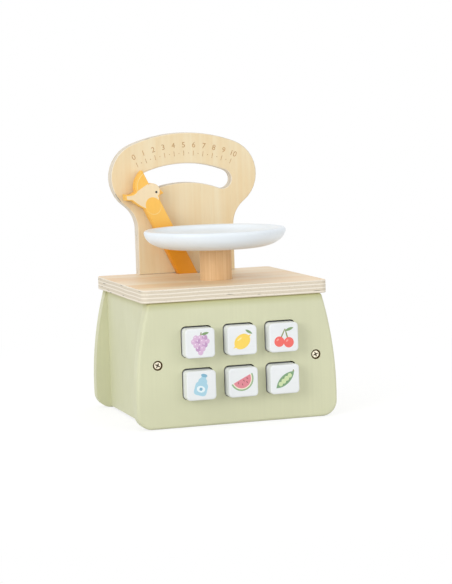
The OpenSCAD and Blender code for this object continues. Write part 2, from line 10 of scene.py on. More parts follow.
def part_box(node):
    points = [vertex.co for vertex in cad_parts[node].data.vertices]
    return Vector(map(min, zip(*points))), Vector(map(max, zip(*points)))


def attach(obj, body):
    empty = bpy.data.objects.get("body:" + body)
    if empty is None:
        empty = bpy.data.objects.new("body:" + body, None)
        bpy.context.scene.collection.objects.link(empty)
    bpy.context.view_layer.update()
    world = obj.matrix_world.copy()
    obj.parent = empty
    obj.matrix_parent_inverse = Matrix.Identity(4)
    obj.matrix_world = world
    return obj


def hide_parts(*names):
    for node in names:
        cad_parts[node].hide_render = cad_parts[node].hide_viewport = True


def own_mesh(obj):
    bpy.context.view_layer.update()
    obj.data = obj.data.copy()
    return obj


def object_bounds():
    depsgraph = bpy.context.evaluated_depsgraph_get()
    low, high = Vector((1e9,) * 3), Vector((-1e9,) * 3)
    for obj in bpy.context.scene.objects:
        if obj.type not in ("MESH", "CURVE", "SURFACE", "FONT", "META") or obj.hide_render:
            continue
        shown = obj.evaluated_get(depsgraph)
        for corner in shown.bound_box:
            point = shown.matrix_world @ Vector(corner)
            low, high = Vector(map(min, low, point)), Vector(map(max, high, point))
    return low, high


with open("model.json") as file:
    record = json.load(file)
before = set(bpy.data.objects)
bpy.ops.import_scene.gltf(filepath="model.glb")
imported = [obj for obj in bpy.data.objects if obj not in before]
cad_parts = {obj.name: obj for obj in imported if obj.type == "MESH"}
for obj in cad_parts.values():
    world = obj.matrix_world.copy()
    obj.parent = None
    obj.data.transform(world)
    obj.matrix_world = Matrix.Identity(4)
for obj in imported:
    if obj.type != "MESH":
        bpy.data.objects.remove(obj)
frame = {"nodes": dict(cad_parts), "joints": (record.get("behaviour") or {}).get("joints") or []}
CAD_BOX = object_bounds()

bl_info = {
    "name": "Toy Shop Scale",
    "version": (1, 0, 0),
    "blender": (4, 5, 0),
    "location": "3D View > Sidebar > Shop Scale",
    "description": "Models and finishes a wooden toy shop scale round its packed frame",
    "category": "Object",
}

MM = 0.001
# Distance in metres within which points count as level
NEAR = 1e-5
# Distances in metres within which points count as one, on a copy of a node and on a new piece
NODE_WELD = 1e-6
WELD = 1e-7
# Room left when faces are told apart by their place
SLACK = 0.1 * MM
# Share of a face's normal along an axis from which the face counts as flat across it
FLAT = 0.99
# Angle from which two faces count as meeting at a sharp corner
SHARP = math.radians(60)
UP = Vector((0, 0, 1))
BUTTONS = [f"{row}_{column}" for row in ("upper", "lower") for column in ("left", "middle", "right")]


def joint(name):
    """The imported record's joint of that name."""
    return next(j for j in frame["joints"] if j["name"] == name)


def middle(node):
    """The middle of a node's box at rest."""
    low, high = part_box(node)
    return (low + high) / 2


def linear(hexa):
    """A colour written as six hex digits, as Blender's linear red, green, blue and alpha."""
    parts = [int(hexa[i:i + 2], 16) / 255 for i in (0, 2, 4)]
    return tuple(p / 12.92 if p <= 0.04045 else ((p + 0.055) / 1.055) ** 2.4 for p in parts) + (1.0,)


def colour(name, description, hexa):
    """A colour that a user can change."""
    return bpy.props.FloatVectorProperty(
        name=name, description=description, subtype="COLOR", size=4, min=0, max=1, default=linear(hexa))


def length(name, description, millimetres):
    """A length that a user can change."""
    return bpy.props.FloatProperty(
        name=name, description=description, subtype="DISTANCE", unit="LENGTH", min=0, precision=5,
        default=millimetres * MM)


def angle(name, description, degrees):
    """An angle that a user can change."""
    return bpy.props.FloatProperty(
        name=name, description=description, subtype="ANGLE", unit="ROTATION", default=math.radians(degrees))


def power(name, description, watts):
    """A lamp's power that a user can change."""
    return bpy.props.FloatProperty(name=name, description=description, subtype="POWER", min=0, default=watts)


class ShopScaleSizes(bpy.types.PropertyGroup):
    """Sizes of the edges, the pan, the marks and prints, the bird, the screws and the springs."""

    hole_edge: length("Hole edge", "Rounding round the button holes", 0.15)
    panel_ease: length("Panel ease", "Depth of the easing round the panels' outer edges", 2.0)
    panel_top: length("Panel top", "Rounding of the panels' top edges", 1.9)
    board_edge: length("Board edge", "Rounding of the top board's edges", 0.35)
    dial_edge: length("Dial edge", "Rounding of the dial's edges", 0.9)
    pointer_edge: length("Pointer edge", "Rounding of the pointer's edges", 0.8)
    pan_base: length("Pan base", "Radius of the pan's flat base", 33.0)
    pan_floor: length("Pan floor", "Height of the hollow's floor above the pan's base", 6.5)
    pan_rim: length("Pan rim", "Rounding of the pan's rim", 1.9)
    pan_lip: length("Pan lip", "Width of the rim from the pan's edge to its hollow", 5.0)
    post_edge: length("Post edge", "Rounding of the post's ends", 0.6)
    post_bore: length("Post bore", "Radius of the bore for the screw in the post", 2.1)
    ply: length("Ply", "Thickness of one layer of the plywood", 1.2)
    button_corner: length("Button corner", "Radius of the corners of a button's face", 2.5)
    button_edge: length("Button edge", "Rounding of a button's front edges", 1.0)
    button_lip: length("Button lip", "Thickness of the lip that holds a button in", 3.0)
    button_width: length("Button width", "Width of a button's face", 19.5)
    button_height: length("Button height", "Height of a button's face", 18.8)
    print_room: length("Print room", "Depth of a print in front of a button's face", 0.12)
    ink_layer: length("Ink layer", "Thickness of one layer of ink", 0.016)
    tick_radius: length("Tick radius", "Distance of the ticks from the pivot", 86.0)
    tick_length: length("Tick length", "Length of a tick", 3.4)
    tick_width: length("Tick width", "Width of a tick", 0.36)
    dot_radius: length("Dot radius", "Radius of the dots between the ticks", 0.306)
    digit_radius: length("Digit radius", "Distance of the digits from the pivot", 91.5)
    digit_size: length("Digit size", "Type size of the digits", 5.2)
    first_angle: angle("First angle", "Angle of the first tick, left of upright", 22.8)
    arm_width: length("Arm width", "Width of the pointer's arm", 12.0)
    arm_length: length("Arm length", "Length of the pointer's arm above the pivot", 64.0)
    # Painted highlight: the line along the raised wing stands for light on its eased edge
    wing_line: length("Wing line", "Width of the line along the bird's raised wing", 0.5)
    eye_radius: length("Eye radius", "Radius of the bird's eye", 0.78)
    # Painted shade: between these heights the pointer turns to deeper amber towards its foot, standing for
    # the pan's shadow
    foot_low: length("Foot low", "Height below which the pointer's paint is thick", 111.0)
    foot_high: length("Foot high", "Height above which the pointer's paint is thin", 129.0)
    # Painted shade: how far the darker sage, standing for the top board's shadow, reaches down the panels
    rim_reach: length("Rim reach", "How far the thick paint reaches down from the top board", 6.0)
    lean: angle("Lean", "Lean of the pointer to the left at zero", 26.2)
    screw_shank: length("Screw shank", "Diameter of the screws behind their heads", 3.0)
    screw_head: length("Screw head", "Thickness of a screw's head", 1.4)
    screw_dome: length("Screw dome", "Rounding of a screw's head", 0.45)
    screw_cross: length("Screw cross", "Length of the cross in a screw's head", 3.2)
    cross_width: length("Cross width", "Width of the cross in a screw's head", 0.8)
    cross_depth: length("Cross depth", "Depth of the cross in a screw's head", 1.0)
    seat_reach: length("Seat reach", "Radius of the seats round the screw heads", 3.2)
    pan_wire: length("Pan wire", "Diameter of the wire of the pan's spring", 1.5)
    button_wire: length("Button wire", "Diameter of the wire of the buttons' springs", 0.9)
    wire_rings: bpy.props.IntProperty(
        name="Wire rings", description="Rings of a spring in one turn", min=8, default=24)


class ShopScaleColours(bpy.types.PropertyGroup):
    """Colours of the finishes, as they look in daylight."""

    sage: colour("Sage", "Paint on the box", "d3d4b3")
    # Painted shade: darker sage under the top board, standing for the shadow of its overhang on the panels
    sage_deep: colour("Sage deep", "Thicker paint under the top board", "b8b987")
    white: colour("White", "Paint on the buttons", "e9ecee")
    pan_white: colour("Pan white", "Paint on the pan", "e9f0f6")
    amber: colour("Amber", "Paint on the pointer", "f7bf53")
    # Painted shade: deeper amber at the pointer's foot, standing for the pan's shadow on it
    amber_deep: colour("Amber deep", "Thicker paint at the foot of the pointer", "e09206")
    cream: colour("Cream", "Paint on the bird's body", "efd9b2")
    # Pale paint: a printed line under the folded wing, and a painted highlight along the raised wing's eased
    # edge
    wing_line: colour("Wing line", "Pale line under the bird's folded wing", "fbd78c")
    beak: colour("Beak", "Paint on the bird's beak", "f0a946")
    birch: colour("Birch", "Face of the plywood", "ebdcba")
    birch_warm: colour("Birch warm", "Warm streaks in the face of the plywood", "e5cb9d")
    birch_pale: colour("Birch pale", "Pale face of the top board", "f6e7cd")
    birch_brown: colour("Birch brown", "Brown figure in the face of the top board", "e9be85")
    ply_pale: colour("Ply pale", "Pale layers in the edges of the plywood", "ede4d4")
    ply_dark: colour("Ply dark", "Darker layers in the edges of the plywood", "d5c8b1")
    beech: colour("Beech", "Wood of the post, the stems and the dowels", "ecc899")
    beech_dark: colour("Beech dark", "Grain lines of the beech", "d2a673")
    burnt: colour("Burnt", "Burnt marks on the dial", "b98f5f")
    brass: colour("Brass", "Screws", "f3ead2")
    # Bare wood in the screw seats, darkened as painted shade for the gap round each head
    seat: colour("Seat", "Bare wood in the seats of the screws", "7d6745")
    # Painted shade: near-black hole walls, standing for the shadow in the gap round each button, over the
    # bare wood there
    hole: colour("Hole", "Bare wood in the holes of the buttons", "2a241c")
    recess: colour("Recess", "Shade in the crosses of the screws", "5c4c38")
    steel: colour("Steel", "Springs and pins", "b9bcc0")


class ShopScaleStage(bpy.types.PropertyGroup):
    """Where the camera stands and how the stage is lit."""

    azimuth: angle("Azimuth", "Turn of the camera to the left", -17.57)
    elevation: angle("Elevation", "Height of the camera as an angle", 5.78)
    roll: angle("Roll", "Roll of the camera", -1.76)
    distance: length("Distance", "Distance from the camera to its target", 1324.5)
    target_x: length("Target X", "Camera target to the right of the middle", 11.66)
    target_y: length("Target Y", "Camera target behind the middle", 3.75)
    target_z: length("Target Z", "Camera target above the floor", 79.02)
    lens: bpy.props.FloatProperty(
        name="Lens", description="Focal length", subtype="DISTANCE_CAMERA", min=10, default=122.4)
    key: power("Key", "Power of the large lamp at the left", 8.6)
    fill: power("Fill", "Power of the lamp at the right", 4.2)
    top: power("Top", "Power of the lamp overhead", 1.8)
    back: power("Back", "Power of the lamp behind", 3.5)
    daylight: bpy.props.FloatProperty(
        name="Daylight", description="Strength of the light from all round", min=0, default=0.68)


def sizes():
    """The sizes that are set in the scene."""
    return bpy.context.scene.shop_scale_sizes


def tint(name):
    """One of the colours that are set in the scene."""
    return tuple(getattr(bpy.context.scene.shop_scale_colours, name))


# Working in object and edit mode

def deselect():
    """Leaves edit mode with nothing selected."""
    if bpy.context.object and bpy.context.object.mode != "OBJECT":
        bpy.ops.object.mode_set(mode="OBJECT")
    bpy.ops.object.select_all(action="DESELECT")


def take(piece):
    """Selects one piece alone."""
    deselect()
    piece.select_set(True)
    bpy.context.view_layer.objects.active = piece


def edit(piece):
    """Opens a piece in edit mode."""
    take(piece)
    bpy.ops.object.mode_set(mode="EDIT")


def leave():
    """Goes back to object mode."""
    bpy.ops.object.mode_set(mode="OBJECT")


def choose(piece, kind, test):
    """Selects, in edit mode, only the edges or faces that pass a test."""
    bpy.ops.mesh.select_mode(type=kind)
    bpy.ops.mesh.select_all(action="DESELECT")
    mesh = bmesh.from_edit_mesh(piece.data)
    found = [p for p in (mesh.edges if kind == "EDGE" else mesh.faces) if test(p)]
    if not found:
        raise RuntimeError(f"{piece.name}: nothing to select")
    for part in found:
        part.select_set(True)
    mesh.select_flush_mode()
    bmesh.update_edit_mesh(piece.data)


def is_corner(edge):
    """True for an edge where two faces meet at a sharp corner."""
    return len(edge.link_faces) == 2 and edge.calc_face_angle() > SHARP


def on_plane(axis, *values):
    """A test for edges that lie on one of the planes at these values along an axis."""
    return lambda edge: any(
        all(abs(v.co[axis] - value) < NEAR for v in edge.verts) for value in values)


def corners_on(axis, *values):
    """A test for sharp edges on one of the planes at these values along an axis."""
    level = on_plane(axis, *values)
    return lambda edge: level(edge) and is_corner(edge)


def bevel(width, segments):
    """Rounds the selected edges."""
    bpy.ops.mesh.bevel(offset_type="OFFSET", offset=width, segments=segments, profile=0.5, affect="EDGES")


def round_edges(piece, test, width, segments=3):
    """Rounds the edges of a piece that pass a test."""
    edit(piece)
    choose(piece, "EDGE", test)
    bevel(width, segments)
    leave()


def extrude(x, y, z):
    """Draws the selected faces out by a way."""
    bpy.ops.mesh.extrude_region_move(TRANSFORM_OT_translate={"value": (x, y, z)})


def weld(distance=WELD):
    """Selects all in edit mode and merges the points that lie at one place."""
    bpy.ops.mesh.select_all(action="SELECT")
    bpy.ops.mesh.remove_doubles(threshold=distance)


def part_off(piece):
    """A new piece of the faces that are selected in edit mode."""
    bpy.ops.mesh.separate(type="SELECTED")
    leave()
    return next(other for other in bpy.context.selected_objects if other != piece)


def use_modifier(piece, kind, **settings):
    """Adds a modifier, sets it and applies it."""
    take(piece)
    bpy.ops.object.modifier_add(type=kind)
    modifier = piece.modifiers[-1]
    for key, value in settings.items():
        setattr(modifier, key, value)
    bpy.ops.object.modifier_apply(modifier=modifier.name)


def apply_place(piece):
    """Moves a piece's place, turn and scale into its mesh."""
    take(piece)
    bpy.ops.object.transform_apply(location=True, rotation=True, scale=True)


def new_piece(name, shape, scale=(1, 1, 1), **settings):
    """A primitive at its size and place, to be shaped."""
    deselect()
    getattr(bpy.ops.mesh, f"primitive_{shape}_add")(**settings)
    piece = bpy.context.object
    piece.name = name
    piece.scale = scale
    apply_place(piece)
    return piece


def smooth(piece, degrees=35):
    """Shades a piece smooth, but for its sharp edges, and keeps its flat faces flat."""
    take(piece)
    bpy.ops.object.shade_smooth_by_angle(angle=math.radians(degrees))
    use_modifier(piece, "WEIGHTED_NORMAL", keep_sharp=True)


def outward(piece):
    """Turns all faces outwards."""
    edit(piece)
    bpy.ops.mesh.select_all(action="SELECT")
    bpy.ops.mesh.normals_make_consistent(inside=False)
    leave()


def join(name, pieces):
    """Joins pieces into one."""
    take(pieces[0])
    for piece in pieces[1:]:
        piece.select_set(True)
    bpy.ops.object.join()
    pieces[0].name = name
    return pieces[0]


def copy_of(piece, name):
    """A copy of a piece with a mesh of its own."""
    twin = bpy.data.objects.new(name, piece.data.copy())
    bpy.context.scene.collection.objects.link(twin)
    return twin


def copy_of_node(node, name):
    """A clean copy of a node's mesh: corners merged and flat faces made whole."""
    piece = copy_of(frame["nodes"][node], name)
    piece.data.materials.clear()
    edit(piece)
    bpy.ops.mesh.customdata_custom_splitnormals_clear()
    weld(NODE_WELD)
    bpy.ops.mesh.dissolve_limited(angle_limit=math.radians(0.2))
    leave()
    return piece


def hand_over(piece, body, slot, *nodes):
    """Lets a finished piece ride on its body and stand for the nodes that it replaces; the slot is not used.
    """
    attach(piece, body)
    if nodes:
        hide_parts(*nodes)


def coat(piece, *materials):
    """Gives a piece its materials."""
    piece.data.materials.clear()
    for material in materials:
        piece.data.materials.append(material)


def coat_faces(piece, index, test):
    """Puts the material of one slot on the faces that pass a test."""
    edit(piece)
    choose(piece, "FACE", test)
    piece.active_material_index = index
    bpy.ops.object.material_slot_assign()
    leave()


# Shader nodes

def add(tree, kind, inputs=None, **settings):
    """A node with its settings, and with the values or links of its inputs."""
    made = tree.nodes.new(kind)
    for key, value in settings.items():
        setattr(made, key, value)
    for key, value in (inputs or {}).items():
        if isinstance(value, bpy.types.NodeSocket):
            tree.links.new(value, made.inputs[key])
        else:
            made.inputs[key].default_value = value
    return made


def math_node(tree, operation, *values):
    """The result of one operation on values or links."""
    return add(tree, "ShaderNodeMath", dict(enumerate(values)), operation=operation).outputs[0]


def noise(tree, vector, scale, detail, **more):
    """Soft noise from 0 to 1, with more inputs of its node where they are given."""
    inputs = {"Vector": vector, "Scale": scale, "Detail": detail, **more}
    dimensions = "4D" if "W" in more else "3D"
    return add(tree, "ShaderNodeTexNoise", inputs, noise_dimensions=dimensions).outputs["Fac"]


def ramp(tree, value, low, high, to_low=0.0, to_high=1.0):
    """A value taken smoothly from one range to another."""
    return add(tree, "ShaderNodeMapRange", {
        "Value": value, "From Min": low, "From Max": high, "To Min": to_low, "To Max": to_high},
        interpolation_type="SMOOTHSTEP").outputs["Result"]


def blend_colours(tree, factor, first, second):
    """The first colour where the factor is 0 and the second where it is 1."""
    made = add(tree, "ShaderNodeMix", {"Factor": factor}, data_type="RGBA")
    for socket, value in ((made.inputs[6], first), (made.inputs[7], second)):
        if isinstance(value, bpy.types.NodeSocket):
            tree.links.new(value, socket)
        else:
            socket.default_value = value
    return made.outputs[2]


def shade(base, share):
    """A colour made lighter or darker by a share."""
    return tuple(min(1.0, c * share) for c in base[:3]) + (1.0,)


def new_group(name, *numbers):
    """A shader group that takes a vector and numbers, and the sockets that they come from."""
    tree = bpy.data.node_groups.new(name, "ShaderNodeTree")
    tree.interface.new_socket("Vector", in_out="INPUT", socket_type="NodeSocketVector")
    for number in numbers:
        tree.interface.new_socket(number, in_out="INPUT", socket_type="NodeSocketFloat")
    return tree, tree.nodes.new("NodeGroupInput").outputs


def close_group(tree, **values):
    """Lets a shader group put out its named values."""
    for name in values:
        tree.interface.new_socket(name, in_out="OUTPUT", socket_type="NodeSocketFloat")
    end = tree.nodes.new("NodeGroupOutput")
    for name, value in values.items():
        tree.links.new(value, end.inputs[name])
    return tree


def use_group(tree, group, **inputs):
    """The outputs of a shader group that is placed in a material with its own values."""
    return add(tree, "ShaderNodeGroup", inputs, node_tree=group).outputs


@cache
def wood_figure():
    """Grain that runs along X: broad figure, fine streaks and short dark flecks."""
    tree, given = new_group("Wood Figure", "Along", "Across")
    spread = add(tree, "ShaderNodeCombineXYZ", {
        "X": given["Along"], "Y": given["Across"], "Z": given["Across"]}).outputs[0]

    def spread_by(vector, factors):
        return add(tree, "ShaderNodeVectorMath", {0: vector, 1: factors}, operation="MULTIPLY").outputs[0]

    grain = spread_by(given["Vector"], spread)
    streaks = spread_by(grain, (0.4, 9, 9))
    flecks = spread_by(grain, (14, 60, 60))
    return close_group(
        tree,
        Figure=ramp(tree, noise(tree, grain, 1.0, 3.0, Distortion=0.7), 0.3, 0.7),
        Streaks=ramp(tree, noise(tree, streaks, 1.0, 4.0), 0.25, 0.75),
        Flecks=ramp(tree, noise(tree, flecks, 1.0, 1.0), 0.68, 0.8))


@cache
def ply_layers():
    """Layers of plywood by depth: which of two directions a layer has, its fibres, glue lines and gaps."""
    tree, given = new_group("Ply Layers", "Depth", "Ply")
    vector = given["Vector"]
    wave = math_node(tree, "MULTIPLY", noise(tree, vector, 35.0, 2.0), 0.8)
    place = math_node(tree, "ADD", math_node(tree, "DIVIDE", given["Depth"], given["Ply"]), wave)
    share = math_node(tree, "FRACT", place)
    near = math_node(tree, "MINIMUM", share, math_node(tree, "SUBTRACT", 1.0, share))
    # Each glue line has gaps of its own
    line = math_node(tree, "MULTIPLY", math_node(tree, "ROUND", place), 5.3)
    gaps = ramp(tree, noise(tree, vector, 60.0, 1.0, W=line), 0.63, 0.68)
    at_line = ramp(tree, near, 0.12, 0.24, 1.0, 0.0)
    return close_group(
        tree,
        Layer=math_node(tree, "FLOORED_MODULO", math_node(tree, "FLOOR", place), 2.0),
        Glue=ramp(tree, near, 0.03, 0.16, 1.0, 0.0),
        Fibres=noise(tree, vector, 900.0, 3.0),
        Gaps=math_node(tree, "MULTIPLY", at_line, gaps))


@cache
def paint_skin():
    """Sprayed paint: slow changes of tone, a fine skin, and how dull it is."""
    tree, given = new_group("Paint Skin", "Fineness")
    vector = given["Vector"]
    return close_group(
        tree,
        Tone=ramp(tree, noise(tree, vector, 22.0, 3.0), 0.3, 0.7),
        Skin=noise(tree, vector, given["Fineness"], 2.0),
        Dull=ramp(tree, noise(tree, vector, 60.0, 4.0), 0.25, 0.75))


def new_material(name):
    """A material with its node tree, its Principled shader and its Object coordinates."""
    material = bpy.data.materials.new(name)
    material.use_nodes = True
    tree = material.node_tree
    shader = tree.nodes["Principled BSDF"]
    place = tree.nodes.new("ShaderNodeTexCoord").outputs["Object"]
    return material, tree, shader, place


def set_surface(tree, shader, tone, roughness, height=None, depth=0.0, strength=0.5):
    """Lets a colour, a roughness and, over a depth in metres, a height feed the shader."""
    tree.links.new(tone, shader.inputs["Base Color"])
    tree.links.new(roughness, shader.inputs["Roughness"])
    if height is not None:
        relief = add(tree, "ShaderNodeBump", {"Height": height, "Distance": depth, "Strength": strength})
        tree.links.new(relief.outputs["Normal"], shader.inputs["Normal"])


# Turns that bring the grain's direction along X
GRAIN_TURN = {
    "X": (0, 0, 0),
    "Y": (0, 0, math.pi / 2),
    "Z": (0, math.pi / 2, 0),
}


def turned(tree, place, direction, shift=(0, 0, 0)):
    """Object coordinates turned so that a direction lies along X, and then shifted."""
    return add(tree, "ShaderNodeMapping", {
        "Vector": place, "Rotation": GRAIN_TURN[direction], "Location": shift}).outputs["Vector"]


@cache
def paint(name, finish, dullness, direction, deep=None, thin=0.0, thick=0.0):
    """Sprayed paint in one of the named colours, over wood whose grain just shows.

    It may turn from the height thin to the height thick into a deeper colour, which is painted shade."""
    base = tint(finish)
    material, tree, shader, place = new_material(name)
    skin = use_group(tree, paint_skin(), Vector=place, Fineness=1400.0)
    grain = use_group(tree, wood_figure(), Vector=turned(tree, place, direction), Along=9.0, Across=70.0)
    streaks = math_node(tree, "MULTIPLY", grain["Streaks"], 0.5)
    tone = blend_colours(tree, skin["Tone"], shade(base, 0.965), shade(base, 1.025))
    tone = blend_colours(tree, streaks, tone, shade(base, 0.95))
    # Painted shade: the colour turns deeper between the heights thin and thick
    if deep:
        height = add(tree, "ShaderNodeSeparateXYZ", {"Vector": place}).outputs["Z"]
        tone = blend_colours(tree, ramp(tree, height, thin, thick), tone, tint(deep))
    roughness = ramp(tree, skin["Dull"], 0.0, 1.0, dullness - 0.05, dullness + 0.07)
    relief = math_node(tree, "ADD", math_node(tree, "MULTIPLY", skin["Skin"], 0.5), streaks)
    set_surface(tree, shader, tone, roughness, relief, 0.04 * MM)
    return material


@cache
def wood(name, pale, warm, direction, along, across, broad=0.6, fine=0.3, shift=(0, 0, 0), dullness=0.58):
    """Bare wood with its grain along one direction, and shares of broad figure and fine streaks."""
    material, tree, shader, place = new_material(name)
    vector = turned(tree, place, direction, shift)
    grain = use_group(tree, wood_figure(), Vector=vector, Along=along, Across=across)
    figure = math_node(tree, "MULTIPLY", grain["Figure"], broad)
    amount = math_node(tree, "ADD", figure, math_node(tree, "MULTIPLY", grain["Streaks"], fine))
    tone = blend_colours(tree, amount, tint(pale), tint(warm))
    flecks = math_node(tree, "MULTIPLY", grain["Flecks"], 0.35)
    tone = blend_colours(tree, flecks, tone, shade(tint(warm), 0.7))
    roughness = ramp(tree, grain["Streaks"], 0.0, 1.0, dullness - 0.06, dullness + 0.06)
    relief = math_node(tree, "SUBTRACT", grain["Streaks"], grain["Flecks"])
    set_surface(tree, shader, tone, roughness, relief, 0.06 * MM)
    return material


@cache
def ply_edge(name, axis):
    """Cut edge of plywood, with its layers stacked along X, Y or Z."""
    material, tree, shader, place = new_material(name)
    depth = add(tree, "ShaderNodeSeparateXYZ", {"Vector": place}).outputs[axis]
    layers = use_group(tree, ply_layers(), Vector=place, Depth=depth, Ply=sizes().ply)
    tone = tint("ply_pale")
    # Layers, speckles, glue lines and gaps, each with the share of the darker layers' colour it lays on
    for mask, share in (
            (math_node(tree, "MULTIPLY", layers["Layer"], 0.75), 1.0),
            (ramp(tree, layers["Fibres"], 0.52, 0.8, 0.0, 0.45), 0.82),
            (math_node(tree, "MULTIPLY", layers["Glue"], 0.5), 0.72),
            (math_node(tree, "MULTIPLY", layers["Gaps"], 0.8), 0.25)):
        tone = blend_colours(tree, mask, tone, shade(tint("ply_dark"), share))
    roughness = ramp(tree, layers["Fibres"], 0.2, 0.8, 0.6, 0.78)
    relief = math_node(tree, "SUBTRACT", layers["Fibres"], layers["Glue"])
    set_surface(tree, shader, tone, roughness, relief, 0.08 * MM)
    return material


# How dull each metal is
METAL_DULLNESS = {"brass": 0.34, "steel": 0.3}


@cache
def metal(kind):
    """Plain metal with fine turning marks."""
    dullness = METAL_DULLNESS[kind]
    material, tree, shader, place = new_material(kind)
    shader.inputs["Metallic"].default_value = 1.0
    skin = use_group(tree, paint_skin(), Vector=place, Fineness=4000.0)
    tone = blend_colours(tree, skin["Tone"], shade(tint(kind), 0.86), tint(kind))
    roughness = ramp(tree, skin["Dull"], 0.0, 1.0, dullness - 0.06, dullness + 0.08)
    set_surface(tree, shader, tone, roughness, skin["Skin"], 0.03 * MM, 0.4)
    return material


# Colours of the inks, in hex digits
INKS = {
    "black": "1f1c1a", "stalk": "8a8f57", "leaf": "7f9d6d", "red": "ef6c64", "red_shine": "f7aaa2",
    "pod": "7fa37c", "pod_inside": "6a9169", "pea": "cfdfae", "bottle": "a9d2e3", "cap": "7fb2cb",
    "label": "e6f2f6", "yellow": "fad65f", "yellow_shine": "fdeaa6", "lilac": "d9b7d6",
    "lilac_deep": "c39bc4", "lilac_shine": "f0e0ef", "rind": "93b389", "pith": "f6ead6",
    "flesh": "de8894", "seed": "8c5052",
}


@cache
def ink(name):
    """Printed ink: matt, and a little uneven."""
    base = linear(INKS[name])
    material, tree, shader, place = new_material("ink_" + name)
    skin = use_group(tree, paint_skin(), Vector=place, Fineness=2500.0)
    tone = blend_colours(tree, skin["Skin"], shade(base, 0.92), shade(base, 1.06))
    set_surface(tree, shader, tone, ramp(tree, skin["Dull"], 0.0, 1.0, 0.45, 0.58))
    return material


@cache
def burnt_wood():
    """Wood that a hot stamp has browned unevenly."""
    base = tint("burnt")
    material, tree, shader, place = new_material("burnt_marks")
    skin = use_group(tree, paint_skin(), Vector=place, Fineness=1800.0)
    uneven = ramp(tree, skin["Skin"], 0.3, 0.7)
    tone = blend_colours(tree, uneven, shade(base, 0.85), shade(base, 1.25))
    roughness = ramp(tree, skin["Dull"], 0.0, 1.0, 0.7, 0.85)
    set_surface(tree, shader, tone, roughness, skin["Skin"], 0.04 * MM, 0.6)
    return material


def sage_paint():
    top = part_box("front_panel")[1].z
    # Painted shade: the sage turns darker towards the top board, where its overhang casts shade
    return paint("sage_paint", "sage", 0.5, "Z", "sage_deep", top - sizes().rim_reach, top)


def white_paint():
    return paint("white_paint", "white", 0.36, "X")


def pan_paint():
    return paint("pan_paint", "pan_white", 0.34, "X")


def amber_paint():
    size = sizes()
    # Painted shade: the amber deepens towards the pointer's foot under the pan
    return paint("amber_paint", "amber", 0.42, "Z", "amber_deep", size.foot_high, size.foot_low)


def birch_face(direction):
    return wood(f"birch_face_{direction}", "birch", "birch_warm", direction, 7.0, 48.0)


def board_face():
    return wood("board_face", "birch_pale", "birch_brown", "X", 6.0, 36.0, 0.6, 0.3, (0.4, 0.1, 0), 0.46)


def beech(direction):
    return wood(f"beech_{direction}", "beech", "beech_dark", direction, 16.0, 110.0, 0.22, 0.6)


# The box

def model_panel(node):
    """A painted panel: rounded along its top, softened round its holes, with painted shade on the bare wood
    inside them and in its screw seats.
    """
    size = sizes()
    piece = copy_of_node(node, node + "_painted")
    low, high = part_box(node)
    outer = low.y if node == "front_panel" else high.y
    on_face = corners_on(1, outer)
    on_top = corners_on(2, high.z)

    def on_rim(edge):
        """True along the top, as far as the outline is eased."""
        return on_top(edge) and all(abs(v.co.y - outer) < size.panel_ease + NEAR for v in edge.verts)

    round_edges(piece, lambda e: on_face(e) and not on_top(e), size.hole_edge)
    round_edges(piece, on_rim, size.panel_top, 6)
    edit(piece)
    weld(NODE_WELD)
    leave()
    smooth(piece)
    # Painted shade darkens the bare wood in the screw seats and turns the hole walls near black
    coat(piece, sage_paint(), paint("seat_wood", "seat", 0.7, "Y"), paint("hole_wood", "hole", 0.7, "Y"))
    screws_low, screws_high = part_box("front_screws")
    head = (screws_high.z - screws_low.z) / 2
    seat = Vector((screws_high.x - head, (screws_low.z + screws_high.z) / 2))
    first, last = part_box("button_lower_left")[0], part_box("button_upper_right")[1]

    def is_sunk(face):
        """True behind the softened edges of the panel's face."""
        return abs(face.calc_center_median().y - outer) > 2 * size.hole_edge

    def in_seat(face):
        """True inside the seat of a screw's head."""
        spot = face.calc_center_median()
        away = (Vector((abs(spot.x), spot.z)) - seat).length
        return away < size.seat_reach + SLACK and is_sunk(face)

    def in_hole(face):
        """True on the walls of the buttons' holes."""
        spot = face.calc_center_median()
        inside = all(first[i] < spot[i] < last[i] for i in (0, 2))
        return inside and abs(face.normal.y) < 0.5 and is_sunk(face)

    # Bare wood with painted shade in the seats round the screw heads
    coat_faces(piece, 1, in_seat)
    # Painted shade: near-black walls in the button holes
    if node == "front_panel":
        coat_faces(piece, 2, in_hole)
    hand_over(piece, "box", "sage_paint", node)


def model_side(node):
    """A painted side with softened long edges."""
    piece = copy_of_node(node, node + "_painted")
    low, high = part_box(node)
    outer = low.x if low.x < 0 else high.x
    round_edges(piece, corners_on(0, outer), sizes().hole_edge)
    smooth(piece)
    coat(piece, sage_paint())
    hand_over(piece, "box", "sage_paint", node)


# Share of a face's normal across a board from which veneer covers it, a little way into the rounding
VENEER = 0.94


def model_board(node, axis, name, face_material, edge_material, rounding):
    """A plywood board: rounded edges, veneer on its two faces and layers round its edges."""
    piece = copy_of_node(node, name)
    low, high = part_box(node)
    round_edges(piece, corners_on(axis, low[axis], high[axis]), rounding)
    smooth(piece)
    coat(piece, edge_material, face_material)
    coat_faces(piece, 1, lambda f: abs(f.normal[axis]) > VENEER)
    hand_over(piece, "box", "bare_plywood", node)


# Marks on the dial

# Ticks on the dial, one for each number from 0 to 10
TICKS = 11


def pivot():
    """The pointer's pivot."""
    return Vector(joint("pointer_swing")["pos_m"])


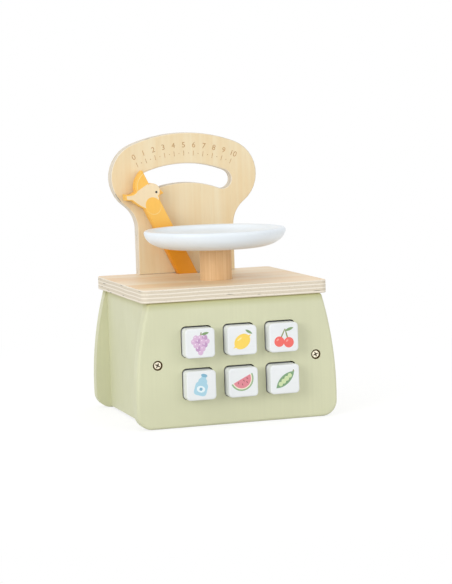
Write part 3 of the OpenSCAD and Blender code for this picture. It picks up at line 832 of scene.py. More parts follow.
def model_dial_marks():
    """Ticks and the dots between them, spun about the pivot, in front of the dial."""
    size = sizes()
    centre = pivot()
    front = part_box("dial_board")[0].y
    step = 2 * size.first_angle / (TICKS - 1)
    depth = size.ink_layer
    place = (centre.x, front - depth / 2, centre.z + size.tick_radius)

    def spun(piece, first, count):
        """A row of copies from one upright over the pivot, the first of them turned to its angle."""
        piece.data.transform(Matrix.Translation(centre) @ Matrix.Rotation(first, 4, "Y")
                             @ Matrix.Translation(-centre))
        edit(piece)
        bpy.ops.mesh.select_all(action="SELECT")
        bpy.ops.mesh.spin(
            steps=count - 1, dupli=True, angle=-step * (count - 1), center=centre, axis=(0, 1, 0))
        leave()
        return piece

    tick = new_piece("tick", "cube", (size.tick_width, depth, size.tick_length), size=1, location=place)
    ticks = spun(tick, -size.first_angle, TICKS)
    dot = new_piece("dot", "cylinder", vertices=16, radius=size.dot_radius, depth=depth,
                    rotation=(math.pi / 2, 0, 0), location=place)
    dots = spun(dot, step / 2 - size.first_angle, TICKS - 1)
    marks = join("dial_marks", [ticks, dots])
    outward(marks)
    coat(marks, burnt_wood())
    hand_over(marks, "box", "bare_plywood")


def model_dial_digits():
    """A number over each tick, upright to the pivot."""
    size = sizes()
    centre = pivot()
    centre.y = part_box("dial_board")[0].y - size.ink_layer / 2
    digits = []
    for value in range(TICKS):
        turn = size.first_angle * (2 * value / (TICKS - 1) - 1)
        deselect()
        bpy.ops.object.text_add()
        digit = bpy.context.object
        digit.data.body = str(value)
        digit.data.size = size.digit_size
        digit.data.align_x = "CENTER"
        digit.data.align_y = "CENTER"
        digit.data.extrude = size.ink_layer / 2
        bpy.ops.object.convert(target="MESH")
        digit.location = centre + Vector((math.sin(turn), 0, math.cos(turn))) * size.digit_radius
        digit.rotation_euler = (math.pi / 2, turn, 0)
        apply_place(digit)
        digits.append(digit)
    piece = join("dial_digits", digits)
    edit(piece)
    weld()
    leave()
    outward(piece)
    coat(piece, burnt_wood())
    hand_over(piece, "box", "bare_plywood")


# The pointer and its bird

# Places on the bird in millimetres, across the arm and up from its end, and directions there
HEAD = (4.1, 2.2)
HEAD_RADIUS = 5.0
BEAK = (10.1, -1.8)
BEAK_WAY = (0.81, -0.59)
EYE = (6.2, 0.6)
RAISED_WING = (0, 12)
WING_ROOT = (-6.2, 7.3)
WING_WAY = (-0.1, 1)
# Painted highlight: the pale line along the raised wing's eased edge
RAISED_WING_HIGHLIGHT = ((3.7, 16.0), (-3.1, 13.6), (-4.6, 7.9))
# How far the faces of the beak or of the raised wing lie from its place, at most
PART_REACH = 7.0
# Radii and angles between which the rounded edge of the head lies, from above the beak to the crown
HEAD_EDGE = (4.3, 5.6)
HEAD_TURN = (-11, 86)


def on_pointer(across, up, y):
    """A point of the resting pointer, measured across its arm and up from the pivot."""
    lean = sizes().lean
    centre = pivot()
    right = Vector((math.cos(lean), 0, math.sin(lean)))
    along = Vector((-math.sin(lean), 0, math.cos(lean)))
    return Vector((centre.x, y, centre.z)) + right * across + along * up


def on_bird(spot, y):
    """A point of the resting pointer, at one of the places on the bird."""
    return on_pointer(spot[0] * MM, sizes().arm_length + spot[1] * MM, y)


def on_arm_end(drop, y):
    """The middle of the arm's round end on the resting pointer, or a point below it."""
    return on_pointer(0, sizes().arm_length - sizes().arm_width / 2 - drop, y)


def pointer_direction(across, up):
    """A direction on the resting pointer."""
    return (on_pointer(across, up, 0) - on_pointer(0, 0, 0)).normalized()


def cut_bird(pointer, front):
    """The bird's body and its beak, cut from a copy of the pointer's front face above the arm."""
    edit(pointer)
    choose(pointer, "FACE", lambda f: f.normal.y < -FLAT and abs(f.calc_center_median().y - front) < NEAR)
    bpy.ops.mesh.duplicate()
    body = part_off(pointer)
    beak_way = pointer_direction(*BEAK_WAY)
    arm_cut = on_arm_end(0, front), -pointer_direction(0, 1)
    wing_cut = on_bird(WING_ROOT, front), pointer_direction(*WING_WAY)
    beak_cut = on_bird(HEAD, front) + beak_way * HEAD_RADIUS * MM, beak_way
    for cut in (arm_cut, wing_cut, beak_cut):
        edit(body)
        bpy.ops.mesh.select_all(action="SELECT")
        bpy.ops.mesh.bisect(plane_co=cut[0], plane_no=cut[1], clear_outer=cut is arm_cut, use_fill=False)
        leave()

    def beyond(cut, spot):
        """A test for faces past a cut and near a place on the bird."""
        place, normal = cut
        near = on_bird(spot, front)
        return lambda f: ((f.calc_center_median() - place).dot(normal) > 0
                          and (f.calc_center_median() - near).length < PART_REACH * MM)

    edit(body)
    choose(body, "FACE", beyond(wing_cut, RAISED_WING))
    bpy.ops.mesh.delete(type="FACE")
    choose(body, "FACE", beyond(beak_cut, BEAK))
    return body, part_off(body)


def at_round_head(front):
    """A test for faces on the rounded edge of the bird's head."""
    across, up = pointer_direction(1, 0), pointer_direction(0, 1)

    def test(face):
        spot = face.calc_center_median()
        way = spot - on_bird(HEAD, spot.y)
        turn = math.degrees(math.atan2(way.dot(up), way.dot(across)))
        on_edge = spot.y < front + sizes().pointer_edge and face.normal.y > -FLAT
        near = HEAD_EDGE[0] * MM < way.length < HEAD_EDGE[1] * MM
        return on_edge and near and HEAD_TURN[0] < turn < HEAD_TURN[1]
    return test


def put_on_pointer(piece, name, material):
    """Names and coats a painted part of the bird, and lets it ride on the pointer."""
    piece.name = name
    coat(piece, material)
    hand_over(piece, "pointer", "amber_paint")


def model_pointer():
    """The painted pointer, and the bird's cream body and orange beak on its front."""
    size = sizes()
    low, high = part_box("pointer")
    piece = copy_of_node("pointer", "pointer_painted")
    round_edges(piece, corners_on(1, low.y, high.y), size.pointer_edge)
    body, beak = cut_bird(piece, low.y)
    body_paint = paint("bird_body_paint", "cream", 0.45, "Z")
    beak_paint = paint("bird_beak_paint", "beak", 0.45, "Z")
    for part, name, finish in ((body, "bird_body", body_paint), (beak, "bird_beak", beak_paint)):
        use_modifier(part, "SOLIDIFY", thickness=2 * size.ink_layer, offset=1.0)
        put_on_pointer(part, name, finish)
    smooth(piece)
    coat(piece, amber_paint(), body_paint)
    coat_faces(piece, 1, at_round_head(low.y))
    hand_over(piece, "pointer", "amber_paint", "pointer")


def model_wings_and_eye():
    """The arm's round end as a folded wing over a pale printed line, a painted highlight along the raised
    wing, and the eye.
    """
    size = sizes()
    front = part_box("pointer")[0].y
    reach = size.arm_width / 2 - size.pointer_edge
    pale_line_and_highlight = paint("wing_line_paint", "wing_line", 0.42, "Z")
    for name, finish, drop, layer in (
            ("bird_wing_line", pale_line_and_highlight, 1.0, 3), ("bird_wing", amber_paint(), 0.5, 4)):
        wing = stamp(64, reach, on_arm_end(drop * MM, front), size.lean, (1, 1.12), layer)
        put_on_pointer(wing, name, finish)
    # Painted highlight along the raised wing's eased edge
    line = painted_line([on_bird(spot, front) for spot in RAISED_WING_HIGHLIGHT], size.wing_line)
    put_on_pointer(line, "raised_wing_line", pale_line_and_highlight)
    eye = stamp(24, size.eye_radius, on_bird(EYE, front), layer=4)
    put_on_pointer(eye, "bird_eye", ink("black"))


def painted_line(corners, width):
    """A flat line of paint that leaves the first corner for the second and turns there to the third."""
    first, bend, last = corners
    deselect()
    bpy.ops.curve.primitive_bezier_curve_add()
    line = bpy.context.object
    for point, end in zip(line.data.splines[0].bezier_points, (first, last)):
        point.handle_left_type = point.handle_right_type = "FREE"
        point.co = end
        point.handle_left = point.handle_right = end.lerp(bend, 2 / 3)
    line.data.bevel_depth = width / 2
    line.data.bevel_resolution = 2
    line.data.use_fill_caps = True
    bpy.ops.object.convert(target="MESH")
    edit(line)
    weld()
    bpy.ops.transform.resize(value=(1, 0.2, 1), center_override=(0, first.y, 0))
    leave()
    outward(line)
    return line


# The pan and its post

def curve(first, bend, last, steps):
    """Points of a curve that leaves the first point for the bend and turns there to the last."""
    first, bend, last = Vector(first), Vector(bend), Vector(last)
    return [first * (1 - t) ** 2 + bend * 2 * t * (1 - t) + last * t ** 2
            for t in (i / steps for i in range(1, steps + 1))]


def pan_profile(radius, height):
    """The dish from its flat base: out round the side, over the rim and down into the hollow."""
    size = sizes()
    rim = size.pan_rim
    hollow = radius - size.pan_lip
    side_bend = (radius - 1.2 * MM, 0.2 * height)
    lip_bend = (hollow + 2.0 * MM, height)
    lip_end = (hollow + 0.5 * MM, height - 0.7 * MM)
    floor_bend = (hollow - 3.5 * MM, size.pan_floor)
    floor_end = (hollow - 17.0 * MM, size.pan_floor)
    points = curve((size.pan_base, 0), side_bend, (radius, height - rim), 16)
    for turn in (math.radians(15 * i) for i in range(1, 7)):
        points.append(Vector((radius - rim + rim * math.cos(turn), height - rim + rim * math.sin(turn))))
    points += curve((radius - rim, height), lip_bend, lip_end, 4)
    points += curve(lip_end, floor_bend, floor_end, 14)
    return points


def model_pan():
    """The dish, drawn up from its base along its profile."""
    low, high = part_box("weighing_pan")
    centre = middle("weighing_pan")
    last = Vector((sizes().pan_base, 0))
    pan = new_piece("pan_dish", "circle", vertices=128, radius=last.x, fill_type="NGON",
                    location=(centre.x, centre.y, low.z))
    edit(pan)
    bpy.ops.mesh.select_all(action="SELECT")
    for point in pan_profile((high.x - low.x) / 2, high.z - low.z):
        extrude(0, 0, point.y - last.y)
        share = point.x / last.x
        bpy.ops.transform.resize(
            value=(share, share, 1), center_override=(centre.x, centre.y, low.z + point.y))
        last = point
    leave()
    outward(pan)
    smooth(pan, 40)
    coat(pan, pan_paint())
    hand_over(pan, "pan", "white_paint", "weighing_pan")


def model_post():
    """The round post, with softened ends and the bore of its screw."""
    size = sizes()
    low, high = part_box("pan_post")
    radius = (high.x - low.x) / 2
    screw_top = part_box("carrier_screw")[1].z
    post = new_piece("post", "cylinder", vertices=96, radius=radius, depth=high.z - low.z,
                     location=middle("pan_post"))
    round_edges(post, on_plane(2, low.z, high.z), size.post_edge, 4)
    edit(post)
    choose(post, "FACE", lambda f: f.normal.z < -FLAT)
    bpy.ops.mesh.inset(thickness=radius - size.post_edge - size.post_bore)
    extrude(0, 0, screw_top - low.z)
    leave()
    smooth(post)
    coat(post, beech("Z"))
    hand_over(post, "pan", "beech", "pan_post")


# The buttons and their prints

def model_buttons():
    """One soft-edged button, modelled once and copied to each place."""
    size = sizes()
    low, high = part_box("button_upper_left")
    centre = middle("button_upper_left")
    wide, tall = size.button_width, size.button_height
    front = low.y + size.print_room
    lip_front = high.y - size.button_lip
    button = new_piece("button", "cube", (wide, lip_front - front, tall), size=1,
                       location=(centre.x, (front + lip_front) / 2, centre.z))
    round_edges(button, lambda e: abs((e.verts[0].co - e.verts[1].co).y) > MM, size.button_corner, 8)
    round_edges(button, on_plane(1, front), size.button_edge, 7)
    edit(button)
    # The lip at the back, wider than the hole in the panel
    choose(button, "FACE", lambda f: f.normal.y > FLAT)
    extrude(0, 0, 0)
    bpy.ops.transform.resize(
        value=((high.x - low.x) / wide, 1, (high.z - low.z) / tall),
        center_override=(centre.x, lip_front, centre.z))
    extrude(0, size.button_lip, 0)
    leave()
    outward(button)
    smooth(button)
    coat(button, white_paint())
    for place in BUTTONS:
        twin = copy_of(button, "button_cap_" + place)
        twin.data.transform(Matrix.Translation(middle("button_" + place) - centre))
        hand_over(twin, place + "_button", "white_paint", "button_" + place)
    bpy.data.objects.remove(button)


def stamp(sides, radius, place, turn=0.0, stretch=(1, 1), layer=1, shaped=None):
    """A flat shape with so many corners, as thick as its number of ink layers, in front of an upright face.

    It is shaped first, then stretched, and then turned to the left."""
    depth = layer * sizes().ink_layer
    shape = new_piece("stamp", "cylinder", vertices=sides, radius=radius, depth=depth)
    if shaped:
        edit(shape)
        shaped(shape)
        leave()
    shape.scale = (*stretch, 1)
    shape.rotation_euler = (math.pi / 2, -turn, 0)
    shape.location = place - Vector((0, depth / 2, 0))
    apply_place(shape)
    return shape


def upright_edges(test):
    """A test for a flat shape's upright edges whose place passes another test."""
    return lambda e: abs((e.verts[0].co - e.verts[1].co).z) > WELD and test(e.verts[0].co)


def round_sides(shape):
    """Makes a leaf of a square that stands on its corner: two points and two round sides."""
    choose(shape, "EDGE", upright_edges(lambda v: abs(v.y) < NEAR))
    bpy.ops.mesh.bevel(offset_type="PERCENT", offset_pct=96, segments=10, affect="EDGES")


def halve(shape):
    """Keeps the lower half of a flat shape."""
    bpy.ops.mesh.select_all(action="SELECT")
    bpy.ops.mesh.bisect(plane_co=(0, 0, 0), plane_no=(0, 1, 0), clear_outer=True, use_fill=True)


def round_corners(share):
    """Rounds all the corners of a flat shape by a share of its sides."""
    def shaped(shape):
        choose(shape, "EDGE", upright_edges(lambda v: True))
        bpy.ops.mesh.bevel(offset_type="PERCENT", offset_pct=share, segments=6, affect="EDGES")
    return shaped


class Print:
    """A motif in millimetres about the middle of one button's face."""

    def __init__(self, place):
        low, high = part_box("button_" + place)
        self.place = place
        self.middle = Vector(((low.x + high.x) / 2, low.y + sizes().print_room, (low.z + high.z) / 2))
        self.shapes = []

    def put(self, inked, spot, radius, layer=1, turn=0, stretch=(1, 1), sides=40, shaped=None):
        """Adds one shape in a named ink, with its turn in degrees."""
        place = self.middle + Vector((spot[0], 0, spot[1])) * MM
        shape = stamp(sides, radius * MM, place, math.radians(turn), stretch, layer, shaped)
        coat(shape, ink(inked))
        self.shapes.append(shape)

    def leaf(self, inked, spot, long, wide, turn, layer=1):
        """Adds a pointed leaf of half a length and half a width."""
        self.put(inked, spot, 1, layer, turn, (wide, long), 4, round_sides)

    def bar(self, inked, start, end, wide, layer):
        """Adds a round-ended stroke between two points."""
        way = end - start
        turn = math.degrees(math.atan2(-way.x, way.y))
        self.put(inked, (start + end) / 2, 1, layer, turn, (wide / 2, way.length / 2 + wide / 4), 16)

    def finish(self, name):
        """Joins the motif into one piece that rides on its button."""
        piece = join(f"print_{name}", self.shapes)
        hand_over(piece, self.place + "_button", "white_paint")


def leaning(degrees):
    """The direction of what leans to the left by an angle."""
    return Vector((math.sin(math.radians(-degrees)), math.cos(math.radians(-degrees))))


def print_cherries(place):
    """Two cherries whose stalks meet under a leaf."""
    motif = Print(place)
    meet = Vector((0.7, 5.6))
    for layer, (x, z) in enumerate(((-3.3, -2.5), (3.1, -3.3)), 1):
        motif.bar("stalk", Vector((x, z)), meet, 0.85, layer)
        motif.put("red", (x, z), 3.35, layer + 2)
        motif.put("red_shine", (x - 1.1, z + 1.2), 1, 5, 40, (1.0, 0.5))
    motif.leaf("leaf", (3.5, 5.2), 3.1, 2.0, -72, 5)
    motif.finish("cherries")


def print_pea_pod(place):
    """An open pod with four peas."""
    motif = Print(place)
    turn = -50
    along = leaning(turn)
    centre = Vector((0, -0.3))
    motif.leaf("pod", centre, 8.0, 7.0, turn, 2)
    motif.leaf("pod_inside", centre, 6.3, 4.4, turn, 3)
    for k, step in enumerate((-1.5, -0.5, 0.5, 1.5)):
        motif.put("pea", along * step * 2.7 + centre, 1.75 - 0.2 * abs(step), 4 + k % 2)
    motif.bar("stalk", along * 7.0 + centre, along * 8.6 + Vector((-0.9, 0.3)), 0.9, 1)
    motif.finish("pea_pod")


def print_bottle(place):
    """A leaning bottle with its label and cap."""
    motif = Print(place)
    turn = -16
    up = leaning(turn)
    # Body, shoulder and neck: height, radius of a square's corners and how much they are rounded
    for layer, (height, radius, share) in enumerate(((-2.2, 6.0, 26), (2.0, 4.2, 40), (4.5, 2.3, 12)), 1):
        motif.put("bottle", up * height, radius, layer, turn + 45, (1, 1), 4, round_corners(share))
    motif.put("cap", up * 6.6, 1.0, 4, turn, (2.1, 1.05), 32)
    label = up * -2.2 + Vector((0, -0.1))
    motif.put("label", label, 1.0, 4, turn, (2.8, 2.1), 32)
    motif.put("cap", label, 1.05, 5, turn, (1, 1), 24)
    motif.finish("bottle")


def print_lemon(place):
    """A lemon with a leaf."""
    motif = Print(place)
    centre = (-0.2, -0.7)
    motif.leaf("yellow", centre, 7.3, 3.2, -55)
    motif.put("yellow", centre, 1, 2, -55, (4.5, 5.7))
    motif.put("yellow_shine", (-2.0, 0.9), 1, 3, -58, (0.5, 1.8))
    motif.leaf("leaf", (4.3, 5.3), 2.7, 1.8, 58, 3)
    motif.finish("lemon")


def print_grapes(place):
    """A bunch of grapes with its stalk and a leaf."""
    motif = Print(place)
    motif.bar("stalk", Vector((0, 3.4)), Vector((0.7, 7.0)), 0.85, 1)
    for row, count in enumerate((3, 4, 3, 2, 1)):
        z = 3.4 - row * 2.3
        for k in range(count):
            # Three layers in turn, so that no two grapes that touch share one
            halves = 2 * k - (count - 1)
            layer = 2 + ((halves - row) // 2 - row) % 3
            x = halves * 1.45
            motif.put("lilac_deep" if layer % 2 else "lilac", (x, z), 1.8, layer)
            motif.put("lilac_shine", (x - 0.55, z + 0.6), 0.42, 5, 0, (1, 1), 16)
    motif.leaf("leaf", (3.2, 6.0), 2.6, 1.9, -78, 6)
    motif.finish("grapes")


def print_melon(place):
    """A slice of melon with its seeds."""
    motif = Print(place)
    turn = 26
    down = -leaning(turn)
    across = Vector((-down.y, down.x))
    centre = Vector((-1.2, 2.4))
    for layer, (name, radius) in enumerate((("rind", 7.8), ("pith", 6.8), ("flesh", 6.1)), 1):
        motif.put(name, centre, radius, layer, turn, (1, 1), 64, halve)
    for x, deep in ((-3.3, 1.4), (-1.3, 3.4), (0.6, 1.7), (3.3, 1.4), (2.1, 3.6)):
        motif.leaf("seed", centre + across * x + down * deep, 0.8, 0.62, turn + x * 12, 4)
    motif.finish("melon")


PRINTS = {
    "upper_left": print_grapes,
    "upper_middle": print_lemon,
    "upper_right": print_cherries,
    "lower_left": print_bottle,
    "lower_middle": print_melon,
    "lower_right": print_pea_pod,
}


# Screws and springs

# Turn of the cross in a screw's head, and how much further each next screw is turned, in radians
CROSS_TURN = 0.5
NEXT_TURN = 0.7
# Length of a screw's tip in radii of its shank, and its width as a share of the shank's
TIP_LENGTH = 3
TIP_WIDTH = 0.25


def model_screw(name, head, long):
    """A screw whose head lies at the origin, facing -Y: a low dome with a cross in it."""
    size = sizes()
    thick = size.screw_head
    shank = size.screw_shank / 2
    tip = TIP_LENGTH * shank
    screw = new_piece(name, "cylinder", vertices=48, radius=head, depth=thick,
                      location=(0, thick / 2, 0), rotation=(math.pi / 2, 0, 0))
    round_edges(screw, on_plane(1, 0), size.screw_dome, 4)
    edit(screw)
    choose(screw, "FACE", lambda f: f.normal.y > FLAT)
    bpy.ops.mesh.inset(thickness=head - shank)
    extrude(0, long - thick - tip, 0)
    extrude(0, tip, 0)
    bpy.ops.transform.resize(value=(TIP_WIDTH, 1, TIP_WIDTH), center_override=(0, long, 0))
    leave()
    for turn in (0, math.pi / 2):
        cutter = new_piece("cutter", "cube", (size.screw_cross, 2 * size.cross_depth, size.cross_width),
                           size=1, rotation=(0, turn + CROSS_TURN, 0))
        use_modifier(screw, "BOOLEAN", object=cutter, operation="DIFFERENCE", solver="EXACT")
        bpy.data.objects.remove(cutter)
    outward(screw)
    smooth(screw)
    coat(screw, metal("brass"), paint("cross_shade", "recess", 0.7, "Y"))

    def in_cross(face):
        """True on the walls and the floor of the cross."""
        spot = face.calc_center_median()
        sunk = SLACK / 2 < spot.y < size.cross_depth + SLACK / 2
        return sunk and spot.xz.length < 0.55 * size.screw_cross

    coat_faces(screw, 1, in_cross)
    return screw


def model_screws(node):
    """All the screws of one node: heads turned out, one at each place."""
    low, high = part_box(node)
    front_low, front_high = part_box("front_screws")
    head = (front_high.z - front_low.z) / 2
    xs = (low.x + head, high.x - head)
    if node == "bottom_screws":
        out = Matrix.Rotation(math.pi / 2, 4, "X")
        places = [Vector((x, y, low.z)) for x in xs for y in (low.y + head, high.y - head)]
        long = high.z - low.z
    else:
        front = node == "front_screws"
        out = Matrix.Rotation(0 if front else math.pi, 4, "Z")
        places = [Vector((x, low.y if front else high.y, (low.z + high.z) / 2)) for x in xs]
        long = high.y - low.y
    master = model_screw(node + "_master", head, long)
    heads = []
    for i, place in enumerate(places):
        twin = copy_of(master, f"{node}_{i}")
        twin.data.transform(Matrix.Translation(place) @ out @ Matrix.Rotation(NEXT_TURN * i, 4, "Y"))
        heads.append(twin)
    bpy.data.objects.remove(master)
    piece = join(node + "_cross_head", heads)
    hand_over(piece, "box", "brass_screws", node)


def model_spring(node, axis, turns, wire):
    """A coil of wire, wound from a ring by a screw."""
    low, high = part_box(node)
    centre = middle(node)
    radius = (high.x - low.x - wire) / 2
    long = high[axis] - low[axis]
    rings = sizes().wire_rings
    spring = new_piece(node + "_coil", "circle", vertices=12, radius=wire / 2,
                       location=(radius, 0, wire / 2), rotation=(math.pi / 2, 0, 0))
    use_modifier(spring, "SCREW", angle=2 * math.pi, screw_offset=(long - wire) / turns, iterations=turns,
                 steps=rings, render_steps=rings, axis="Z", use_merge_vertices=False)
    edit(spring)
    weld()
    bpy.ops.mesh.fill_holes(sides=0)
    leave()
    start = centre.copy()
    start[axis] = low[axis]
    place = Matrix.Translation(start)
    if axis == 1:
        place = place @ Matrix.Rotation(-math.pi / 2, 4, "X")
    spring.data.transform(place)
    outward(spring)
    smooth(spring, 50)
    coat(spring, metal("steel"))
    hand_over(spring, "box", "steel", node)
    along = Vector((0, 0, 0))
    along[axis] = 1
    anchor = centre.copy()
    anchor[axis] = low[axis] if axis == 2 else high[axis]
    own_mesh(spring)


# Finishes of the pieces that keep their own meshes

INNER_FINISHES = {
    "bottom_board": ("birch", "X"),
    "button_guide": ("birch", "X"),
    "cam_plate": ("birch", "X"),
    "bottom_battens": ("beech", "Y"),
    "carrier_bar": ("beech", "Y"),
    "drive_peg": ("beech", "Y"),
    "dial_dowels": ("beech", "Z"),
    "side_dowels": ("beech", "Z"),
    "spring_peg": ("beech", "Z"),
    "pointer_pin": ("steel", None),
    "carrier_screw": ("steel", None),
    "cam_screws": ("brass", None),
}


def finish_inner_pieces():
    """Puts a finish on each node that shows as it is."""
    finishes = dict(INNER_FINISHES)
    finishes.update({"stem_" + place: ("beech", "Y") for place in BUTTONS})
    for node, (kind, direction) in finishes.items():
        if kind == "birch":
            material = birch_face(direction)
        elif kind == "beech":
            material = beech(direction)
        else:
            material = metal(kind)
        coat(frame["nodes"][node], material)


# The stage

WHITE = (1, 1, 1, 1)


def seen_by_eye(tree):
    """1 for rays that come from the camera, or from it by way of a shine or glass."""
    light = tree.nodes.new("ShaderNodeLightPath")
    seen = math_node(tree, "MAXIMUM", light.outputs["Is Camera Ray"], light.outputs["Is Glossy Ray"])
    return math_node(tree, "MAXIMUM", seen, light.outputs["Is Transmission Ray"])


def set_daylight():
    """White to the eye, and soft light from all round on the object."""
    world = bpy.data.worlds.new("daylight")
    world.use_nodes = True
    tree = world.node_tree
    tree.nodes.clear()
    light = add(tree, "ShaderNodeBackground", {
        "Color": WHITE, "Strength": bpy.context.scene.shop_scale_stage.daylight})
    white = add(tree, "ShaderNodeBackground", {"Color": WHITE, "Strength": 1.0})
    mix = add(tree, "ShaderNodeMixShader", {
        0: seen_by_eye(tree), 1: light.outputs[0], 2: white.outputs[0]})
    add(tree, "ShaderNodeOutputWorld", {"Surface": mix.outputs[0]})
    bpy.context.scene.world = world


# How far from the middle of the floor, in metres, its shadow starts to fade, and where it ends
FLOOR_FADE = (0.14, 0.42)
# Grey that takes the shadow, and the glow that brings the floor round it up to white
FLOOR_GREY = (0.3, 0.3, 0.3, 1)
FLOOR_GLOW = 0.75
# What the floor throws back at the object
FLOOR_PLAIN = (0.75, 0.75, 0.74, 1)


def pale_floor():
    """A pale floor that keeps the shadow near the object and is plain white far from it."""
    material = bpy.data.materials.new("pale_floor")
    material.use_nodes = True
    tree = material.node_tree
    tree.nodes.clear()
    place = tree.nodes.new("ShaderNodeTexCoord").outputs["Object"]
    away = add(tree, "ShaderNodeVectorMath", {0: place}, operation="LENGTH").outputs["Value"]
    lit = add(tree, "ShaderNodeBsdfDiffuse", {"Color": FLOOR_GREY})
    glow = add(tree, "ShaderNodeEmission", {"Color": WHITE, "Strength": FLOOR_GLOW})
    near = add(tree, "ShaderNodeAddShader", {0: lit.outputs[0], 1: glow.outputs[0]})
    white = add(tree, "ShaderNodeEmission", {"Color": WHITE, "Strength": 1.0})
    shown = add(tree, "ShaderNodeMixShader", {
        0: ramp(tree, away, *FLOOR_FADE), 1: near.outputs[0], 2: white.outputs[0]})
    plain = add(tree, "ShaderNodeBsdfDiffuse", {"Color": FLOOR_PLAIN})
    mix = add(tree, "ShaderNodeMixShader", {
        0: seen_by_eye(tree), 1: plain.outputs[0], 2: shown.outputs[0]})
    add(tree, "ShaderNodeOutputMaterial", {"Surface": mix.outputs[0]})
    return material


# Each lamp's place and width in metres, and whether it shows in the object's shine
LAMPS = {
    "key": ((-1.15, -0.8, 0.55), 0.8, True),
    "fill": ((0.75, -1.05, 0.22), 0.9, True),
    "top": ((0.1, 0.2, 1.3), 0.9, True),
    "back": ((0.35, 1.3, 0.16), 0.9, False),
}
# What the lamps look at
LAMP_TARGET = Vector((0, 0, 0.08))


def lamp(name, place, width, watts, glossy):
    """A square lamp that looks at the middle of the object, and may show in its shine."""
    deselect()
    bpy.ops.object.light_add(type="AREA", location=place)
    made = bpy.context.object
    made.name = name
    made.data.size = width
    made.data.energy = watts
    made.visible_glossy = glossy
    made.rotation_euler = (LAMP_TARGET - Vector(place)).to_track_quat("-Z", "Y").to_euler()


# Width of the camera's film in millimetres, and where its view starts in metres
FILM_WIDTH = 36
VIEW_START = 0.01


def set_camera():
    """The camera, turned round its target and rolled about its own axis."""
    stage = bpy.context.scene.shop_scale_stage
    target = Vector((stage.target_x, stage.target_y, stage.target_z))
    a, e, r = stage.azimuth, stage.elevation, stage.roll
    back = Vector((math.sin(a) * math.cos(e), -math.cos(a) * math.cos(e), math.sin(e)))
    right = UP.cross(back).normalized()
    up = back.cross(right)
    right, up = right * math.cos(r) + up * math.sin(r), up * math.cos(r) - right * math.sin(r)
    deselect()
    bpy.ops.object.camera_add()
    camera = bpy.context.object
    camera.data.lens = stage.lens
    camera.data.sensor_width = FILM_WIDTH
    camera.data.clip_start = VIEW_START
    camera.matrix_world = Matrix.Translation(target + back * stage.distance) @ Matrix(
        (right, up, back)).transposed().to_4x4()
    bpy.context.scene.camera = camera


# Width of the floor in metres, and how far it lies under the feet
FLOOR_WIDTH = 8
FLOOR_DROP = 0.2 * MM


def set_stage():
    """Floor, light from all round, four soft lamps and the camera."""
    stage = bpy.context.scene.shop_scale_stage
    deselect()
    bpy.ops.mesh.primitive_plane_add(size=FLOOR_WIDTH, location=(0, 0, CAD_BOX[0].z - FLOOR_DROP))
    floor = bpy.context.object
    floor.name = "floor"
    coat(floor, pale_floor())
    set_daylight()
    for name, (place, width, glossy) in LAMPS.items():
        lamp(name + "_lamp", place, width, getattr(stage, name), glossy)
    set_camera()
    bpy.context.scene.view_settings.view_transform = "Standard"


# Operators, the panel and registration

class SHOPSCALE_OT_box(bpy.types.Operator):
    """Model the painted box"""

    bl_idname = "shop_scale.box"
    bl_label = "Box"

    def execute(self, context):
        for node in ("front_panel", "back_panel"):
            model_panel(node)
        for node in ("left_side_panel", "right_side_panel"):
            model_side(node)
        return {"FINISHED"}


class SHOPSCALE_OT_boards(bpy.types.Operator):
    """Model the top board and the dial board"""

    bl_idname = "shop_scale.boards"
    bl_label = "Plywood Boards"

    def execute(self, context):
        model_board("top_board", 2, "top_board_ply", board_face(), ply_edge("ply_edge_z", "Z"),
                    sizes().board_edge)
        model_board("dial_board", 1, "dial_board_ply", birch_face("Z"), ply_edge("ply_edge_y", "Y"),
                    sizes().dial_edge)
        return {"FINISHED"}


class SHOPSCALE_OT_dial_marks(bpy.types.Operator):
    """Burn the ticks, dots and digits into the dial"""

    bl_idname = "shop_scale.dial_marks"
    bl_label = "Dial Marks"

    def execute(self, context):
        model_dial_marks()
        model_dial_digits()
        return {"FINISHED"}


class SHOPSCALE_OT_pointer(bpy.types.Operator):
    """Model the pointer and paint its bird"""

    bl_idname = "shop_scale.pointer"
    bl_label = "Pointer"

    def execute(self, context):
        model_pointer()
        model_wings_and_eye()
        return {"FINISHED"}


class SHOPSCALE_OT_pan(bpy.types.Operator):
    """Model the weighing pan and its post"""

    bl_idname = "shop_scale.pan"
    bl_label = "Pan and Post"

    def execute(self, context):
        model_pan()
        model_post()
        return {"FINISHED"}


class SHOPSCALE_OT_buttons(bpy.types.Operator):
    """Model the six push buttons"""

    bl_idname = "shop_scale.buttons"
    bl_label = "Buttons"

    def execute(self, context):
        model_buttons()
        return {"FINISHED"}


class SHOPSCALE_OT_prints(bpy.types.Operator):
    """Print a food on each button"""

    bl_idname = "shop_scale.prints"
    bl_label = "Button Prints"

    def execute(self, context):
        for place, draw in PRINTS.items():
            draw(place)
        return {"FINISHED"}


class SHOPSCALE_OT_screws(bpy.types.Operator):
    """Model the screws of the front, the back and the bottom"""

    bl_idname = "shop_scale.screws"
    bl_label = "Screws"

    def execute(self, context):
        for node in ("front_screws", "rear_screws", "bottom_screws"):
            model_screws(node)
        return {"FINISHED"}


class SHOPSCALE_OT_springs(bpy.types.Operator):
    """Wind the springs of the pan and the buttons"""

    bl_idname = "shop_scale.springs"
    bl_label = "Springs"

    def execute(self, context):
        size = sizes()
        model_spring("return_spring", axis=2, turns=7, wire=size.pan_wire)
        for place in BUTTONS:
            model_spring("spring_" + place, axis=1, turns=5, wire=size.button_wire)
        return {"FINISHED"}


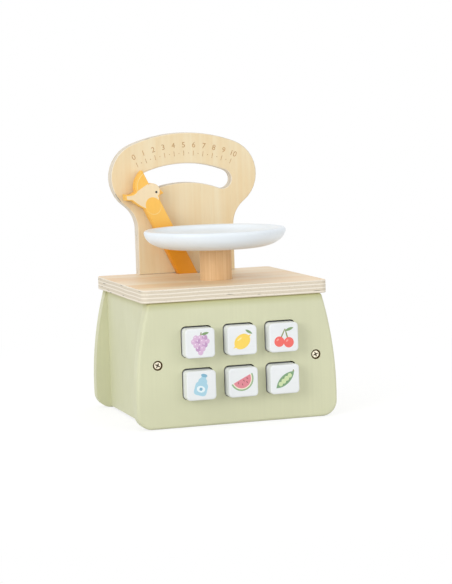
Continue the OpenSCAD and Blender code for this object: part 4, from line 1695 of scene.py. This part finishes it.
class SHOPSCALE_OT_inner_finishes(bpy.types.Operator):
    """Finish the pieces inside the box"""

    bl_idname = "shop_scale.inner_finishes"
    bl_label = "Inner Pieces"

    def execute(self, context):
        finish_inner_pieces()
        return {"FINISHED"}


class SHOPSCALE_OT_stage(bpy.types.Operator):
    """Set up floor, light and camera"""

    bl_idname = "shop_scale.stage"
    bl_label = "Stage"

    def execute(self, context):
        set_stage()
        return {"FINISHED"}


STEPS = (
    SHOPSCALE_OT_box, SHOPSCALE_OT_boards, SHOPSCALE_OT_dial_marks, SHOPSCALE_OT_pointer, SHOPSCALE_OT_pan,
    SHOPSCALE_OT_buttons, SHOPSCALE_OT_prints, SHOPSCALE_OT_screws, SHOPSCALE_OT_springs,
    SHOPSCALE_OT_inner_finishes, SHOPSCALE_OT_stage,
)


GROUPS = {
    "shop_scale_sizes": ShopScaleSizes,
    "shop_scale_colours": ShopScaleColours,
    "shop_scale_stage": ShopScaleStage,
}


class SHOPSCALE_PT_sidebar(bpy.types.Panel):
    """Steps that build the scale, and the values that they use"""

    bl_idname = "SHOPSCALE_PT_sidebar"
    bl_label = "Toy Shop Scale"
    bl_space_type = "VIEW_3D"
    bl_region_type = "UI"
    bl_category = "Shop Scale"

    def draw(self, context):
        for step in STEPS:
            self.layout.operator(step.bl_idname)
        for group in GROUPS:
            values = getattr(context.scene, group)
            box = self.layout.box()
            for name in values.bl_rna.properties.keys():
                if name not in ("rna_type", "name"):
                    box.prop(values, name)


def register():
    for cls in (*GROUPS.values(), *STEPS, SHOPSCALE_PT_sidebar):
        bpy.utils.register_class(cls)
    for name, group in GROUPS.items():
        setattr(bpy.types.Scene, name, bpy.props.PointerProperty(type=group))


def unregister():
    for name in GROUPS:
        delattr(bpy.types.Scene, name)
    for cls in reversed((*GROUPS.values(), *STEPS, SHOPSCALE_PT_sidebar)):
        bpy.utils.unregister_class(cls)


def main():
    register()
    for step in STEPS:
        area, name = step.bl_idname.split(".")
        getattr(getattr(bpy.ops, area), name)()
    deselect()


if __name__ == "__main__":
    main()
